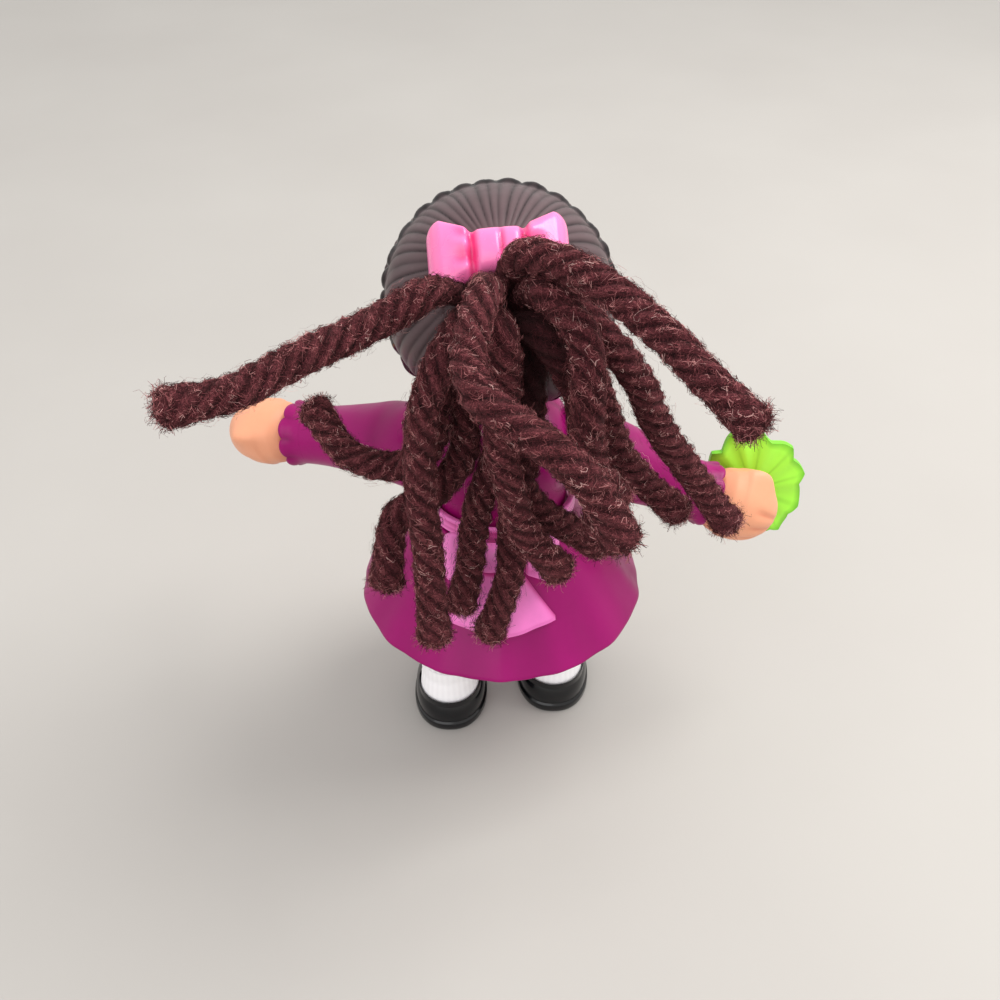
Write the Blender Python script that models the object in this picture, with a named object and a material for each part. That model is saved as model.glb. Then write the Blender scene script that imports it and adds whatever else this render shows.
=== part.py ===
"""A small moulded doll with a yarn ponytail, built as separate pieces.

The doll stands on the origin, faces -Y and has its left side at +X.  The head turns on a neck
post, and each arm turns on a peg that runs from side to side through its shoulder.
"""
import math

import bmesh
import bpy
import numpy as np
from mathutils import Matrix, Vector

MM = 0.001

# Fits
GAP = 0.3 * MM
PEG_CLEARANCE = 0.3 * MM

# Feet and legs
FOOT_SPREAD = 8.2 * MM
FOOT_STAGGER = 3.6 * MM
SHOE_LENGTH = 15.5 * MM
SHOE_WIDTH = 12.0 * MM
HEEL_RATIO = 0.93
SHOE_HEIGHT = 5.8 * MM
SHOE_RIM = 0.7 * MM
SOLE_THICKNESS = 1.6 * MM
SOLE_WELT = 0.25 * MM
FOOT_OPENING_LENGTH = 10.4 * MM
SOCK_HEIGHT = 14.0 * MM
SOCK_CUFF_HEIGHT = 2.6 * MM
SOCK_CUFF_ROLL = 0.5 * MM
LEG_RADIUS = 3.7 * MM
HIP_SPREAD = 6.2 * MM
LEG_SOCKET_DEPTH = 2.5 * MM

# Skirt and hips
HEM_HEIGHT = 23.4 * MM
HEM_RADIUS = 20.75 * MM
WAIST_HEIGHT = 38.5 * MM
WAIST_RADIUS = 9.6 * MM
SKIRT_WALL = 1.5 * MM
SKIRT_SWELL = 0.6 * MM
FLUTE_DEPTH = 0.12 * MM
FLUTES = 14
HIP_FLANGE_RADIUS = 11.9 * MM
HIP_FLANGE_HEIGHT = 28.5 * MM
HIP_FLANGE_THICKNESS = 3.0 * MM
SPIGOT_LENGTH = 4.5 * MM

# Bodice
BODICE_HEIGHT = 17.65 * MM
BODICE_WALL = 1.6 * MM
BODICE_DEPTH_RATIO = 0.92
SHOULDER_RISE = 10.2 * MM
SHOULDER_SPAN = 9.2 * MM
SHOULDER_BOSS_RADIUS = 5.9 * MM
COLLAR_RADIUS = 4.9 * MM

# Sash and its bow
SASH_WIDTH = 2.5 * MM
SASH_THICKNESS = 0.9 * MM
SASH_BOW_WIDTH = 15.5 * MM
SASH_BOW_KNOT_HEIGHT = 4.0 * MM
SASH_BOW_END_HEIGHT = 7.2 * MM
SASH_BOW_THICKNESS = 3.0 * MM
SASH_BOW_SLOPE = math.radians(19.0)
TAIL_THICKNESS = 1.1 * MM
TAIL_DROP = 6.4 * MM
TAIL_TOP_WIDTH = 2.4 * MM
TAIL_END_WIDTH = 6.6 * MM

# Neck and head
NECK_LENGTH = 0.9 * MM
NECK_RADIUS = 2.9 * MM
NECK_FLANGE_RADIUS = 4.2 * MM
NECK_FLANGE_THICKNESS = 1.4 * MM
HEAD_HALF_WIDTH = 14.0 * MM
HEAD_HALF_DEPTH = 14.0 * MM
HEAD_HALF_HEIGHT = 13.7 * MM
HEAD_WALL = 2.0 * MM
HAIR_TILT = math.radians(25.0)
HAIR_RIM_ANGLE = math.radians(99.0)
HAIR_RIDGES = 30
HAIR_RIDGE_DEPTH = 0.2 * MM
HAIR_RIM_ROLL = 1.0 * MM
HAIR_RIM_SCALLOP = 0.3
HAIR_ROLL_PLACE = 0.955
HAIR_ROLL_SPREAD = 0.05
FRINGE_REACH = math.radians(22.0)
FRINGE_END = math.radians(14.0)
FRINGE_THICKNESS = 0.9 * MM
FRINGE_LOCKS = 7
FRINGE_LOCK_DEPTH = math.radians(4.0)
NOSE_HEIGHT = 0.9 * MM
NOSE_RADIUS = 2.6 * MM

# Hair bow
HAIR_BOW_WIDTH = 15.7 * MM
HAIR_BOW_KNOT_HEIGHT = 5.0 * MM
HAIR_BOW_END_HEIGHT = 7.9 * MM
HAIR_BOW_THICKNESS = 3.4 * MM
HAIR_BOW_LIFT = math.radians(47.0)
HAIR_BOW_LEAN = math.radians(4.5)

# Yarn ponytail
YARN_RADIUS = 1.75 * MM
YARN_ROOT_RADIUS = 0.75 * MM
YARN_SWELL_LENGTH = 12.0 * MM
YARN_STRAIGHT_LENGTH = 2.0 * MM
YARN_POINT_SPACING = 3.0 * MM
INNER_ROOT_RING = 1.4 * MM
OUTER_ROOT_RING = 3.25 * MM
PLUG_RECESS = 0.8 * MM
PLUG_LENGTH = 4.0 * MM
PLUG_FLANGE = 1.0 * MM

# Arms
ARM_CONE = math.radians(25.0)
LEFT_ARM_SWING = math.radians(-25.0)
RIGHT_ARM_SWING = math.radians(-88.0)
SLEEVE_ROOT_RADIUS = 6.0 * MM
SLEEVE_END_RADIUS = 4.2 * MM
SLEEVE_LENGTH = 18.7 * MM
CUFF_LENGTH = 2.9 * MM
CUFF_RADIUS = 4.7 * MM
CUFF_SCALLOP = 0.25 * MM
CUFF_SCALLOPS = 9
HAND_LENGTH = 10.6 * MM
HAND_HALF_WIDTH = 5.3 * MM
HAND_HALF_THICKNESS = 4.8 * MM
FINGERTIP_OVERHANG = 1.0 * MM
THUMB_RADIUS = 1.6 * MM
THUMB_LENGTH = 4.6 * MM
WRIST_RADIUS = 2.6 * MM
WRIST_DEPTH = 3.0 * MM
SHOULDER_PEG_RADIUS = 2.3 * MM
SHOULDER_PEG_DEPTH = 3.2 * MM
PEG_FLANGE_RADIUS = 3.3 * MM
PEG_FLANGE_THICKNESS = 1.2 * MM

# Leaf in the right hand
LEAF_LENGTH = 14.0 * MM
LEAF_WIDTH = 17.4 * MM
LEAF_THICKNESS = 1.2 * MM
LEAF_OVERHANG = 5.4 * MM
LEAF_DROP = 0.9 * MM
LEAF_TEETH = 11
LEAF_TOOTH_DEPTH = 1.0 * MM
LEAF_BEND = 1.0 * MM

# Worked out from the sizes above
PEG_BORE = SHOULDER_PEG_RADIUS + PEG_CLEARANCE
NECK_BORE = NECK_RADIUS + PEG_CLEARANCE
SHOULDER_HEIGHT = WAIST_HEIGHT + SHOULDER_RISE
BODICE_TOP = WAIST_HEIGHT + BODICE_HEIGHT
HEAD_CENTRE = Vector((0.0, 0.0, BODICE_TOP + NECK_LENGTH + HEAD_HALF_HEIGHT))
HOLE_RADIUS = OUTER_ROOT_RING + YARN_ROOT_RADIUS + GAP
CUFF_END = SLEEVE_LENGTH + GAP + CUFF_LENGTH
HAND_END = CUFF_END + HAND_LENGTH
FIGURE_SHIFT = 0.5 * (LEAF_OVERHANG - FINGERTIP_OVERHANG) * math.cos(ARM_CONE)
UNDER_COLLAR = BODICE_TOP - BODICE_WALL - PEG_CLEARANCE

X_AXIS = Vector((1.0, 0.0, 0.0))
Y_AXIS = Vector((0.0, 1.0, 0.0))
Z_AXIS = Vector((0.0, 0.0, 1.0))
HAIR_AXIS = Vector((0.0, math.cos(HAIR_TILT), math.sin(HAIR_TILT)))
HAIR_UP = Vector((0.0, -math.sin(HAIR_TILT), math.cos(HAIR_TILT)))

# Each strand: its ring of roots, its place on that ring in degrees from the doll's left, and the
# points that it passes, in millimetres from the head's centre.
YARN_ROUTES = (
    ("outer", 22, ((7, 18, 11), (12, 21, 9.5), (20, 27, 8.5), (26, 31.5, 7.5), (33, 34.5, 7.5))),
    ("inner", 100, ((-2.5, 18, 15), (-8, 22.5, 15.5), (-15, 28, 12.5), (-20, 33.5, 9.5),
                    (-24.5, 37.5, 6.5))),
    ("outer", 146, ((-6, 16, 9.5), (-10, 19.5, 7.5), (-15, 19.5, 1), (-18, 17.5, -6.5),
                    (-23.5, 15, -16), (-29.5, 13.5, -25.5))),
    ("outer", 176, ((-6, 15.5, 6.5), (-9, 15, 2), (-12, 14.5, -6), (-14.5, 13.5, -13.5),
                    (-19, 12.5, -20), (-23.5, 12.5, -24.5))),
    ("outer", 352, ((4.5, 19, 7.5), (8, 23, 0.5), (9, 24, -8), (8.5, 26, -18), (8, 29.5, -30))),
    ("outer", 293, ((2.5, 15.5, 2), (4, 16.5, -5), (4.5, 16.5, -11.5), (8, 18, -16), (12.5, 19.5, -18.5),
                    (14, 24.5, -26))),
    ("outer", 322, ((5, 14.5, 3.5), (7, 18.5, -1.5), (8, 18.5, -8), (11, 16.5, -13), (18, 14, -13.5),
                    (23.5, 7.5, -10))),
    ("inner", 28, ((1.5, 22, 13), (3, 29, 10.5), (2, 34.5, 9), (-5, 39.5, 6), (-9, 40.5, 2),
                   (-12, 41, -4.5))),
    ("inner", 316, ((0, 23, 9), (-0.5, 23.5, 4), (0, 23.5, -5), (-1, 24, -10), (-2.5, 24, -16.5),
                    (-7.5, 24, -24))),
    ("inner", 172, ((-4.5, 20, 12), (-8.5, 24.5, 9), (-9, 27.5, 2.5), (-9.5, 27.5, -4),
                    (-13, 27, -10.5))),
    ("outer", 206, ((-4, 18.5, 4.5), (-2, 19.5, -5.5), (-2, 20, -12.5), (-4.5, 19.5, -17.5),
                    (-9, 17, -23), (-13, 15, -27.5))),
    ("outer", 264, ((0.5, 17, 1), (0, 16, -9.5), (3, 16.5, -20.5), (4, 17.5, -28.5), (5.5, 19, -35))),
    ("outer", 235, ((-3, 16, 0.5), (-3.5, 15, -9.5), (-1.5, 16, -21.5), (-1, 18.5, -29.5), (2, 20, -39))),
    ("inner", 244, ((-4, 21, 8), (-8, 22, 2), (-9.5, 22.5, -4), (-11, 22.5, -12), (-12, 22, -20))),
)


def clear_scene():
    """Start from an empty scene."""
    for obj in list(bpy.data.objects):
        bpy.data.objects.remove(obj, do_unlink=True)


def plastic(name, colour, roughness):
    """A moulded plastic of one colour."""
    material = bpy.data.materials.new(name)
    material.use_nodes = True
    shader = material.node_tree.nodes["Principled BSDF"]
    shader.inputs["Base Color"].default_value = (*colour, 1.0)
    shader.inputs["Roughness"].default_value = roughness
    shader.inputs["Metallic"].default_value = 0.0
    return material


def pivot(name, place, turn=0.0):
    """An empty on a joint's axis, turned about the side-to-side axis."""
    empty = bpy.data.objects.new(name, None)
    empty.location = place
    empty.rotation_euler = (turn, 0.0, 0.0)
    bpy.context.scene.collection.objects.link(empty)
    return empty


def add_object(name, data, material, parent):
    """Put a mesh or a curve in the scene under a name."""
    obj = bpy.data.objects.new(name, data)
    if material:
        data.materials.append(material)
    obj.parent = parent
    bpy.context.scene.collection.objects.link(obj)
    return obj


def oval(centre, across, along, half_across, half_along, count):
    """Points round an oval that starts in the across direction."""
    angles = [2.0 * math.pi * step / count for step in range(count)]
    return [centre + across * (half_across * math.cos(a)) + along * (half_along * math.sin(a))
            for a in angles]


def loft(name, rings, material, parent=None, looped=False):
    """One closed body through matching rings: its end rings are filled, or it loops to the first."""
    shell = bmesh.new()
    loops = [[shell.verts.new(point) for point in ring] for ring in rings]
    pairs = list(zip(loops, loops[1:]))
    if looped:
        pairs.append((loops[-1], loops[0]))
    for low, high in pairs:
        for step in range(len(low)):
            after = (step + 1) % len(low)
            shell.faces.new((low[step], low[after], high[after], high[step]))
    if not looped:
        shell.faces.new(loops[0])
        shell.faces.new(loops[-1])
    bmesh.ops.recalc_face_normals(shell, faces=shell.faces)
    mesh = bpy.data.meshes.new(name)
    shell.to_mesh(mesh)
    shell.free()
    mesh.shade_smooth()
    mesh.set_sharp_from_angle(angle=math.radians(40.0))
    return add_object(name, mesh, material, parent)


def turned(name, profile, material, parent=None, count=24, matrix=Matrix()):
    """A solid of revolution about Z from (radius, height) pairs, then moved by a matrix."""
    rings = [oval(Vector((0.0, 0.0, height)), X_AXIS, Y_AXIS, radius, radius, count)
             for radius, height in profile]
    return loft(name, [[matrix @ point for point in ring] for ring in rings], material, parent)


def frame_along(direction, place=Vector()):
    """A matrix that takes +Z to a direction and the origin to a place."""
    return Matrix.Translation(place) @ direction.to_track_quat("Z", "Y").to_matrix().to_4x4()


def cutter(name, profile, direction, place, parent=None, count=24):
    """A hidden round tool along a direction, from (radius, distance) pairs."""
    tool = turned(name, profile, None, parent, count, frame_along(direction, place))
    tool.hide_render = True
    tool.display_type = "WIRE"
    return tool


def combine(obj, tool, operation):
    """Join, cut or keep the shared part of an object and a tool."""
    tool.hide_render = True
    tool.display_type = "WIRE"
    boolean = obj.modifiers.new(tool.name, "BOOLEAN")
    boolean.operation = operation
    boolean.solver = "EXACT"
    boolean.object = tool


def ease(value):
    """A smooth step from 0 to 1."""
    value = min(max(value, 0.0), 1.0)
    return value * value * (3.0 - 2.0 * value)


def bow_rings(width, knot_height, end_height, thickness, droop):
    """Rings of a tied bow across X: Y is its height, +Z its front and z = 0 its flat back."""
    half_width = 0.5 * width
    knot = 0.34 * half_width
    stations = (0.0, 0.18, 0.3, 0.37, 0.44, 0.6, 0.78, 0.92, 0.985, 1.0)
    sides = [-s for s in reversed(stations[1:])] + list(stations)
    rings = []
    for side in sides:
        x = side * half_width
        reach = abs(x)
        loop = ease((reach - knot) / (0.75 * half_width - knot))
        height = knot_height + (end_height - knot_height) * loop
        valley = math.exp(-((reach - 1.12 * knot) / (0.25 * knot)) ** 2)
        depth = thickness * (1.0 - 0.3 * valley) * (1.0 - 0.25 * loop)
        end = math.sqrt(max(1.0 - (max(abs(side) - 0.8, 0.0) / 0.2) ** 2, 0.02))
        half_height = 0.5 * height * (0.55 + 0.45 * end)
        half_depth = 0.5 * depth * end
        middle = Vector((x, 0.0, 0.5 * depth - droop * reach * reach))
        rings.append(oval(middle, Y_AXIS, Z_AXIS, half_height, half_depth, 14))
    return rings


def shoe_outline(height, inset):
    """Plan of a shoe about its middle: a rounded toe at -Y and a narrower heel at +Y."""
    half_length = 0.5 * SHOE_LENGTH - inset
    half_width = 0.5 * SHOE_WIDTH - inset
    points = []
    for step in range(28):
        angle = 2.0 * math.pi * step / 28
        toe = 0.5 * (1.0 - math.sin(angle))
        taper = HEEL_RATIO + (1.0 - HEEL_RATIO) * toe
        x = half_width * taper * math.copysign(abs(math.cos(angle)) ** 0.85, math.cos(angle))
        y = half_length * math.copysign(abs(math.sin(angle)) ** 0.9, math.sin(angle))
        points.append(Vector((x, y, height)))
    return points


def foot_oval(height, inset):
    """Plan of the foot inside the shoe's opening, near the heel."""
    half_length = 0.5 * FOOT_OPENING_LENGTH - inset
    half_width = 0.5 * SHOE_WIDTH * HEEL_RATIO - SHOE_RIM - inset
    middle = Vector((0.0, 0.5 * (SHOE_LENGTH - FOOT_OPENING_LENGTH) - SHOE_RIM, height))
    return oval(middle, X_AXIS, Y_AXIS, half_width, half_length, 24)


def build_leg(side, name, leg_parts, base):
    """Shoe, sock and leg on one side, from the floor up to the hip core."""
    skin, sock_white, shoe_black = leg_parts
    upper = SHOE_HEIGHT - SOLE_THICKNESS
    inset_by_rise = ((0.0, SOLE_WELT), (0.45, SOLE_WELT + 0.15 * MM), (0.8, 1.0 * MM), (0.95, 2.2 * MM),
                     (1.0, 3.6 * MM))
    rings = [shoe_outline(0.0, 0.35 * MM), shoe_outline(0.3 * SOLE_THICKNESS, 0.0),
             shoe_outline(SOLE_THICKNESS, 0.0)]
    rings += [shoe_outline(SOLE_THICKNESS + rise * upper, inset) for rise, inset in inset_by_rise]
    shoe = loft(f"{name}_shoe", rings, shoe_black, base)
    opening = loft(f"{name}_foot_opening",
                   [foot_oval(SOLE_THICKNESS, 0.0), foot_oval(2.0 * SHOE_HEIGHT, 0.0)], None, base)
    combine(shoe, opening, "DIFFERENCE")

    ankle = Vector((0.0, 0.5 * (SHOE_LENGTH - FOOT_OPENING_LENGTH) - SHOE_RIM, 0.0))
    calf = LEG_RADIUS + 0.5 * MM
    cuff_low = SOCK_HEIGHT - SOCK_CUFF_HEIGHT
    cuff_radius = calf + SOCK_CUFF_ROLL
    sock_rings = [foot_oval(SOLE_THICKNESS + GAP, GAP), foot_oval(SHOE_HEIGHT, GAP)]
    for radius, height in ((calf, 0.5 * (SHOE_HEIGHT + cuff_low)), (calf, cuff_low),
                           (cuff_radius, cuff_low + 0.25 * SOCK_CUFF_HEIGHT),
                           (cuff_radius, SOCK_HEIGHT - 0.25 * SOCK_CUFF_HEIGHT), (calf, SOCK_HEIGHT)):
        sock_rings.append(oval(ankle + Z_AXIS * height, X_AXIS, Y_AXIS, radius, radius, 24))
    loft(f"{name}_sock", sock_rings, sock_white, base)

    socket_top = HIP_FLANGE_HEIGHT + LEG_SOCKET_DEPTH
    hip = Vector((side * HIP_SPREAD, 0.0, 0.0)) - base.location
    hip.z = 0.0
    leg_rings = [oval(ankle + Z_AXIS * (SOCK_HEIGHT + GAP), X_AXIS, Y_AXIS, LEG_RADIUS, LEG_RADIUS, 20)]
    leg_rings += [oval(hip + Z_AXIS * height, X_AXIS, Y_AXIS, LEG_RADIUS, LEG_RADIUS, 20)
                  for height in (HIP_FLANGE_HEIGHT - GAP, socket_top - GAP)]
    loft(f"{name}_leg", leg_rings, skin, base)


def skirt_radius(height, angle):
    """Outside of the skirt: a straight bell with a slight swell and soft flutes that grow to the hem."""
    drop = (WAIST_HEIGHT - height) / (WAIST_HEIGHT - HEM_HEIGHT)
    radius = WAIST_RADIUS + (HEM_RADIUS - WAIST_RADIUS) * drop
    swell = SKIRT_SWELL * math.sin(math.pi * min(max(drop, 0.0), 1.0))
    flute = FLUTE_DEPTH * ease(drop) * math.cos(FLUTES * angle)
    return radius + swell + flute


def build_skirt(magenta):
    """The bell skirt, open below, with its wall inside the fluted outside."""
    count = 4 * FLUTES
    rings = []
    for inset, drops in ((0.0, (0.0, 0.25, 0.5, 0.75, 0.95, 1.0)), (SKIRT_WALL, (1.0, 0.75, 0.5, 0.0))):
        for drop in drops:
            level = WAIST_HEIGHT + (HEM_HEIGHT - WAIST_HEIGHT) * drop
            ring = []
            for step in range(count):
                angle = 2.0 * math.pi * step / count
                radius = skirt_radius(level, angle) - inset
                ring.append(Vector((radius * math.sin(angle), radius * math.cos(angle), level)))
            rings.append(ring)
    loft("skirt", rings, magenta, looped=True)


def bodice_half_width(height):
    """Half width of the bodice: nearly straight from the waist, drawn in over the shoulders."""
    rise = (height - WAIST_HEIGHT) / BODICE_HEIGHT
    shoulder = ease((rise - 0.68) / 0.32)
    chest = WAIST_RADIUS - 0.3 * MM
    return chest + (COLLAR_RADIUS - chest) * shoulder


def bodice_ring(height, inset):
    """Section of the bodice at a height, drawn in from the outside by an inset."""
    half_width = bodice_half_width(height)
    half_depth = half_width * BODICE_DEPTH_RATIO
    return oval(Z_AXIS * height, X_AXIS, Y_AXIS, half_width - inset, half_depth - inset, 32)


def build_hip_core(cream):
    """The inner core: a flange with sockets for the legs and a spigot that locates the bodice."""
    waist_fit = WAIST_RADIUS - SKIRT_WALL - GAP
    flange_top = HIP_FLANGE_HEIGHT + HIP_FLANGE_THICKNESS
    shoulder = WAIST_HEIGHT - 3.0 * MM
    rings = [oval(Z_AXIS * height, X_AXIS, Y_AXIS, radius, radius, 32)
             for radius, height in ((HIP_FLANGE_RADIUS, HIP_FLANGE_HEIGHT), (HIP_FLANGE_RADIUS, flange_top),
                                    (waist_fit, shoulder), (waist_fit, WAIST_HEIGHT))]
    inset = BODICE_WALL + GAP
    rings += [bodice_ring(WAIST_HEIGHT + rise, inset) for rise in (GAP, SPIGOT_LENGTH)]
    core = loft("hip_core", rings, cream)
    for side, name in ((1, "left"), (-1, "right")):
        bore = LEG_RADIUS + GAP
        socket = cutter(f"{name}_leg_socket", ((bore, -LEG_SOCKET_DEPTH), (bore, LEG_SOCKET_DEPTH)), Z_AXIS,
                        Vector((side * HIP_SPREAD, 0.0, HIP_FLANGE_HEIGHT)))
        combine(core, socket, "DIFFERENCE")


def build_bodice(magenta):
    """Front and back halves of the bodice, which close round the shoulder pegs and the neck post."""
    levels = [WAIST_HEIGHT + GAP + (BODICE_HEIGHT - GAP) * part
              for part in (0.0, 0.3, 0.55, 0.68, 0.76, 0.84, 0.92, 1.0)]
    hollow_top = BODICE_TOP - BODICE_WALL
    hollow_levels = [WAIST_HEIGHT - GAP, *[level for level in levels[1:] if level < hollow_top], hollow_top]
    hollow = loft("bodice_hollow", [bodice_ring(level, BODICE_WALL) for level in hollow_levels], None)
    shoulder = Z_AXIS * SHOULDER_HEIGHT
    boss = cutter("shoulder_boss", ((SHOULDER_BOSS_RADIUS, -SHOULDER_SPAN),
                                    (SHOULDER_BOSS_RADIUS, SHOULDER_SPAN)), X_AXIS, shoulder, count=28)
    bore = cutter("shoulder_bore", ((PEG_BORE, -2.0 * SHOULDER_SPAN), (PEG_BORE, 2.0 * SHOULDER_SPAN)),
                  X_AXIS, shoulder)
    pocket_radius = PEG_FLANGE_RADIUS + PEG_CLEARANCE
    pocket_reach = peg_flange_reach() + PEG_CLEARANCE
    pocket = cutter("peg_pocket", ((pocket_radius, -pocket_reach), (pocket_radius, pocket_reach)),
                    X_AXIS, shoulder)
    neck = cutter("neck_bore", ((NECK_BORE, -BODICE_HEIGHT), (NECK_BORE, BODICE_HEIGHT)), Z_AXIS,
                  Z_AXIS * BODICE_TOP)
    collar_radius = NECK_FLANGE_RADIUS + PEG_CLEARANCE
    collar_depth = NECK_FLANGE_THICKNESS + PEG_CLEARANCE
    collar = cutter("neck_pocket", ((collar_radius, -collar_depth), (collar_radius, PEG_CLEARANCE)), Z_AXIS,
                    Z_AXIS * UNDER_COLLAR)
    for name, side in (("bodice_front", -1.0), ("bodice_back", 1.0)):
        half = loft(name, [bodice_ring(level, 0.0) for level in levels], magenta)
        combine(half, boss, "UNION")
        for tool in (hollow, bore, pocket, neck, collar):
            combine(half, tool, "DIFFERENCE")
        reach = 3.0 * SHOULDER_SPAN
        low = Vector((0.0, side * 0.5 * GAP, 0.0))
        far = Vector((0.0, side * reach, 0.0))
        middle = Z_AXIS * SHOULDER_HEIGHT
        corners = [middle + X_AXIS * (reach * a) + Z_AXIS * (reach * b)
                   for a, b in ((-1, -1), (1, -1), (1, 1), (-1, 1))]
        keep = loft(f"{name}_side", [[corner + move for corner in corners] for move in (low, far)], None)
        combine(half, keep, "INTERSECT")


def peg_flange_reach():
    """How far out from the middle the peg's inner flange reaches, inside the shoulder's wall."""
    return SHOULDER_SPAN - BODICE_WALL - 1.6 * MM


def build_neck(skin):
    """The neck post: held by a flange under the collar and one inside the head."""
    slope = math.sqrt(1.0 - (NECK_FLANGE_RADIUS / (HEAD_HALF_DEPTH - HEAD_WALL)) ** 2)
    over_floor = HEAD_CENTRE.z - (HEAD_HALF_HEIGHT - HEAD_WALL) * slope + 2.0 * PEG_CLEARANCE
    profile = ((NECK_RADIUS, SHOULDER_HEIGHT - NECK_FLANGE_RADIUS),
               (NECK_RADIUS, UNDER_COLLAR - NECK_FLANGE_THICKNESS),
               (NECK_FLANGE_RADIUS, UNDER_COLLAR - NECK_FLANGE_THICKNESS), (NECK_FLANGE_RADIUS, UNDER_COLLAR),
               (NECK_RADIUS, UNDER_COLLAR), (NECK_RADIUS, over_floor), (NECK_FLANGE_RADIUS, over_floor),
               (NECK_FLANGE_RADIUS, over_floor + NECK_FLANGE_THICKNESS),
               (NECK_RADIUS, over_floor + 1.6 * NECK_FLANGE_THICKNESS))
    turned("neck_post", profile, skin)


def build_sash(pink):
    """Sash round the waist, its tied bow at the back and two tails that lie on the skirt."""
    low = WAIST_HEIGHT + 2.0 * GAP
    rings = [bodice_ring(low + rise, -(GAP + out))
             for rise, out in ((0.0, 0.0), (0.0, 0.7 * SASH_THICKNESS), (0.3 * SASH_WIDTH, SASH_THICKNESS),
                               (0.7 * SASH_WIDTH, SASH_THICKNESS), (SASH_WIDTH, 0.7 * SASH_THICKNESS),
                               (SASH_WIDTH, 0.0))]
    loft("waist_sash", rings, pink, looped=True)

    depth = bodice_half_width(low) * BODICE_DEPTH_RATIO + GAP + SASH_THICKNESS
    top = low + SASH_WIDTH
    half_bow = 0.5 * SASH_BOW_END_HEIGHT
    slope_up = Vector((0.0, -math.sin(SASH_BOW_SLOPE), math.cos(SASH_BOW_SLOPE)))
    slope_out = Vector((0.0, math.cos(SASH_BOW_SLOPE), math.sin(SASH_BOW_SLOPE)))
    middle = Vector((0.0, depth + GAP, top)) - slope_up * (half_bow - 0.2 * SASH_WIDTH)
    place = Matrix.Translation(middle) @ Matrix((X_AXIS, slope_up, slope_out)).transposed().to_4x4()
    rings = bow_rings(SASH_BOW_WIDTH, SASH_BOW_KNOT_HEIGHT, SASH_BOW_END_HEIGHT, SASH_BOW_THICKNESS, 0.0)
    loft("sash_bow", [[place @ point for point in ring] for ring in rings], pink)

    tail_top = middle.z - 0.5 * SASH_BOW_KNOT_HEIGHT - 2.0 * GAP
    for side, name in ((1, "left"), (-1, "right")):
        rings = []
        for part in (0.0, 0.25, 0.5, 0.75, 1.0):
            inner = side * (0.3 * MM + 0.4 * MM * part)
            width = TAIL_TOP_WIDTH + (TAIL_END_WIDTH - TAIL_TOP_WIDTH) * part
            ring = []
            for out, sweep in ((GAP, (0.0, 0.33, 0.67, 1.0)), (GAP + TAIL_THICKNESS, (1.0, 0.67, 0.33, 0.0))):
                for across in sweep:
                    level = tail_top - TAIL_DROP * part * (1.0 - 0.16 * across)
                    x = inner + side * width * across
                    reach = skirt_radius(level, 0.0) + FLUTE_DEPTH * ease(part) + out
                    ring.append(Vector((x, math.sqrt(reach * reach - x * x), level)))
            rings.append(ring)
        loft(f"{name}_sash_tail", rings, pink)


def head_point(polar, around, offset):
    """Point on the head by its angle from the hair's pole and round it, moved out by an offset."""
    direction = HAIR_AXIS * math.cos(polar)
    direction += (X_AXIS * math.cos(around) + HAIR_UP * math.sin(around)) * math.sin(polar)
    return Vector((direction.x * (HEAD_HALF_WIDTH + offset), direction.y * (HEAD_HALF_DEPTH + offset),
                   direction.z * (HEAD_HALF_HEIGHT + offset)))


def face_relief(point):
    """Height of the small nose over the plain face."""
    nose = Vector((0.0, -HEAD_HALF_DEPTH, -0.1 * HEAD_HALF_HEIGHT))
    return NOSE_HEIGHT * math.exp(-((point - nose).length / NOSE_RADIUS) ** 2)


def build_face(skin, head):
    """The face shell, open at the hairline and at the neck."""
    count = 36
    edge = HAIR_RIM_ANGLE + GAP / HEAD_HALF_WIDTH
    span = math.pi - edge
    outer = [edge + span * part for part in (0.985, 0.95, 0.9, 0.84, 0.76, 0.62, 0.46, 0.3, 0.14, 0.0)]
    inner = [edge + span * part for part in (0.0, 0.2, 0.4, 0.6, 0.8, 0.95)]
    rings = []
    for offset, levels in ((0.0, outer), (-HEAD_WALL, inner)):
        for polar in levels:
            ring = []
            for step in range(count):
                around = 2.0 * math.pi * step / count
                plain = head_point(polar, around, offset)
                relief = face_relief(plain) if offset == 0.0 else 0.0
                ring.append(plain + Vector((0.0, -relief, 0.0)))
            rings.append(ring)
    face = loft("face_shell", rings, skin, head)
    hole = cutter("head_neck_hole", ((NECK_BORE, -2.0 * HEAD_WALL), (NECK_BORE, 2.0 * HEAD_WALL)), Z_AXIS,
                  Z_AXIS * -HEAD_HALF_HEIGHT, head)
    combine(face, hole, "DIFFERENCE")


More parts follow.
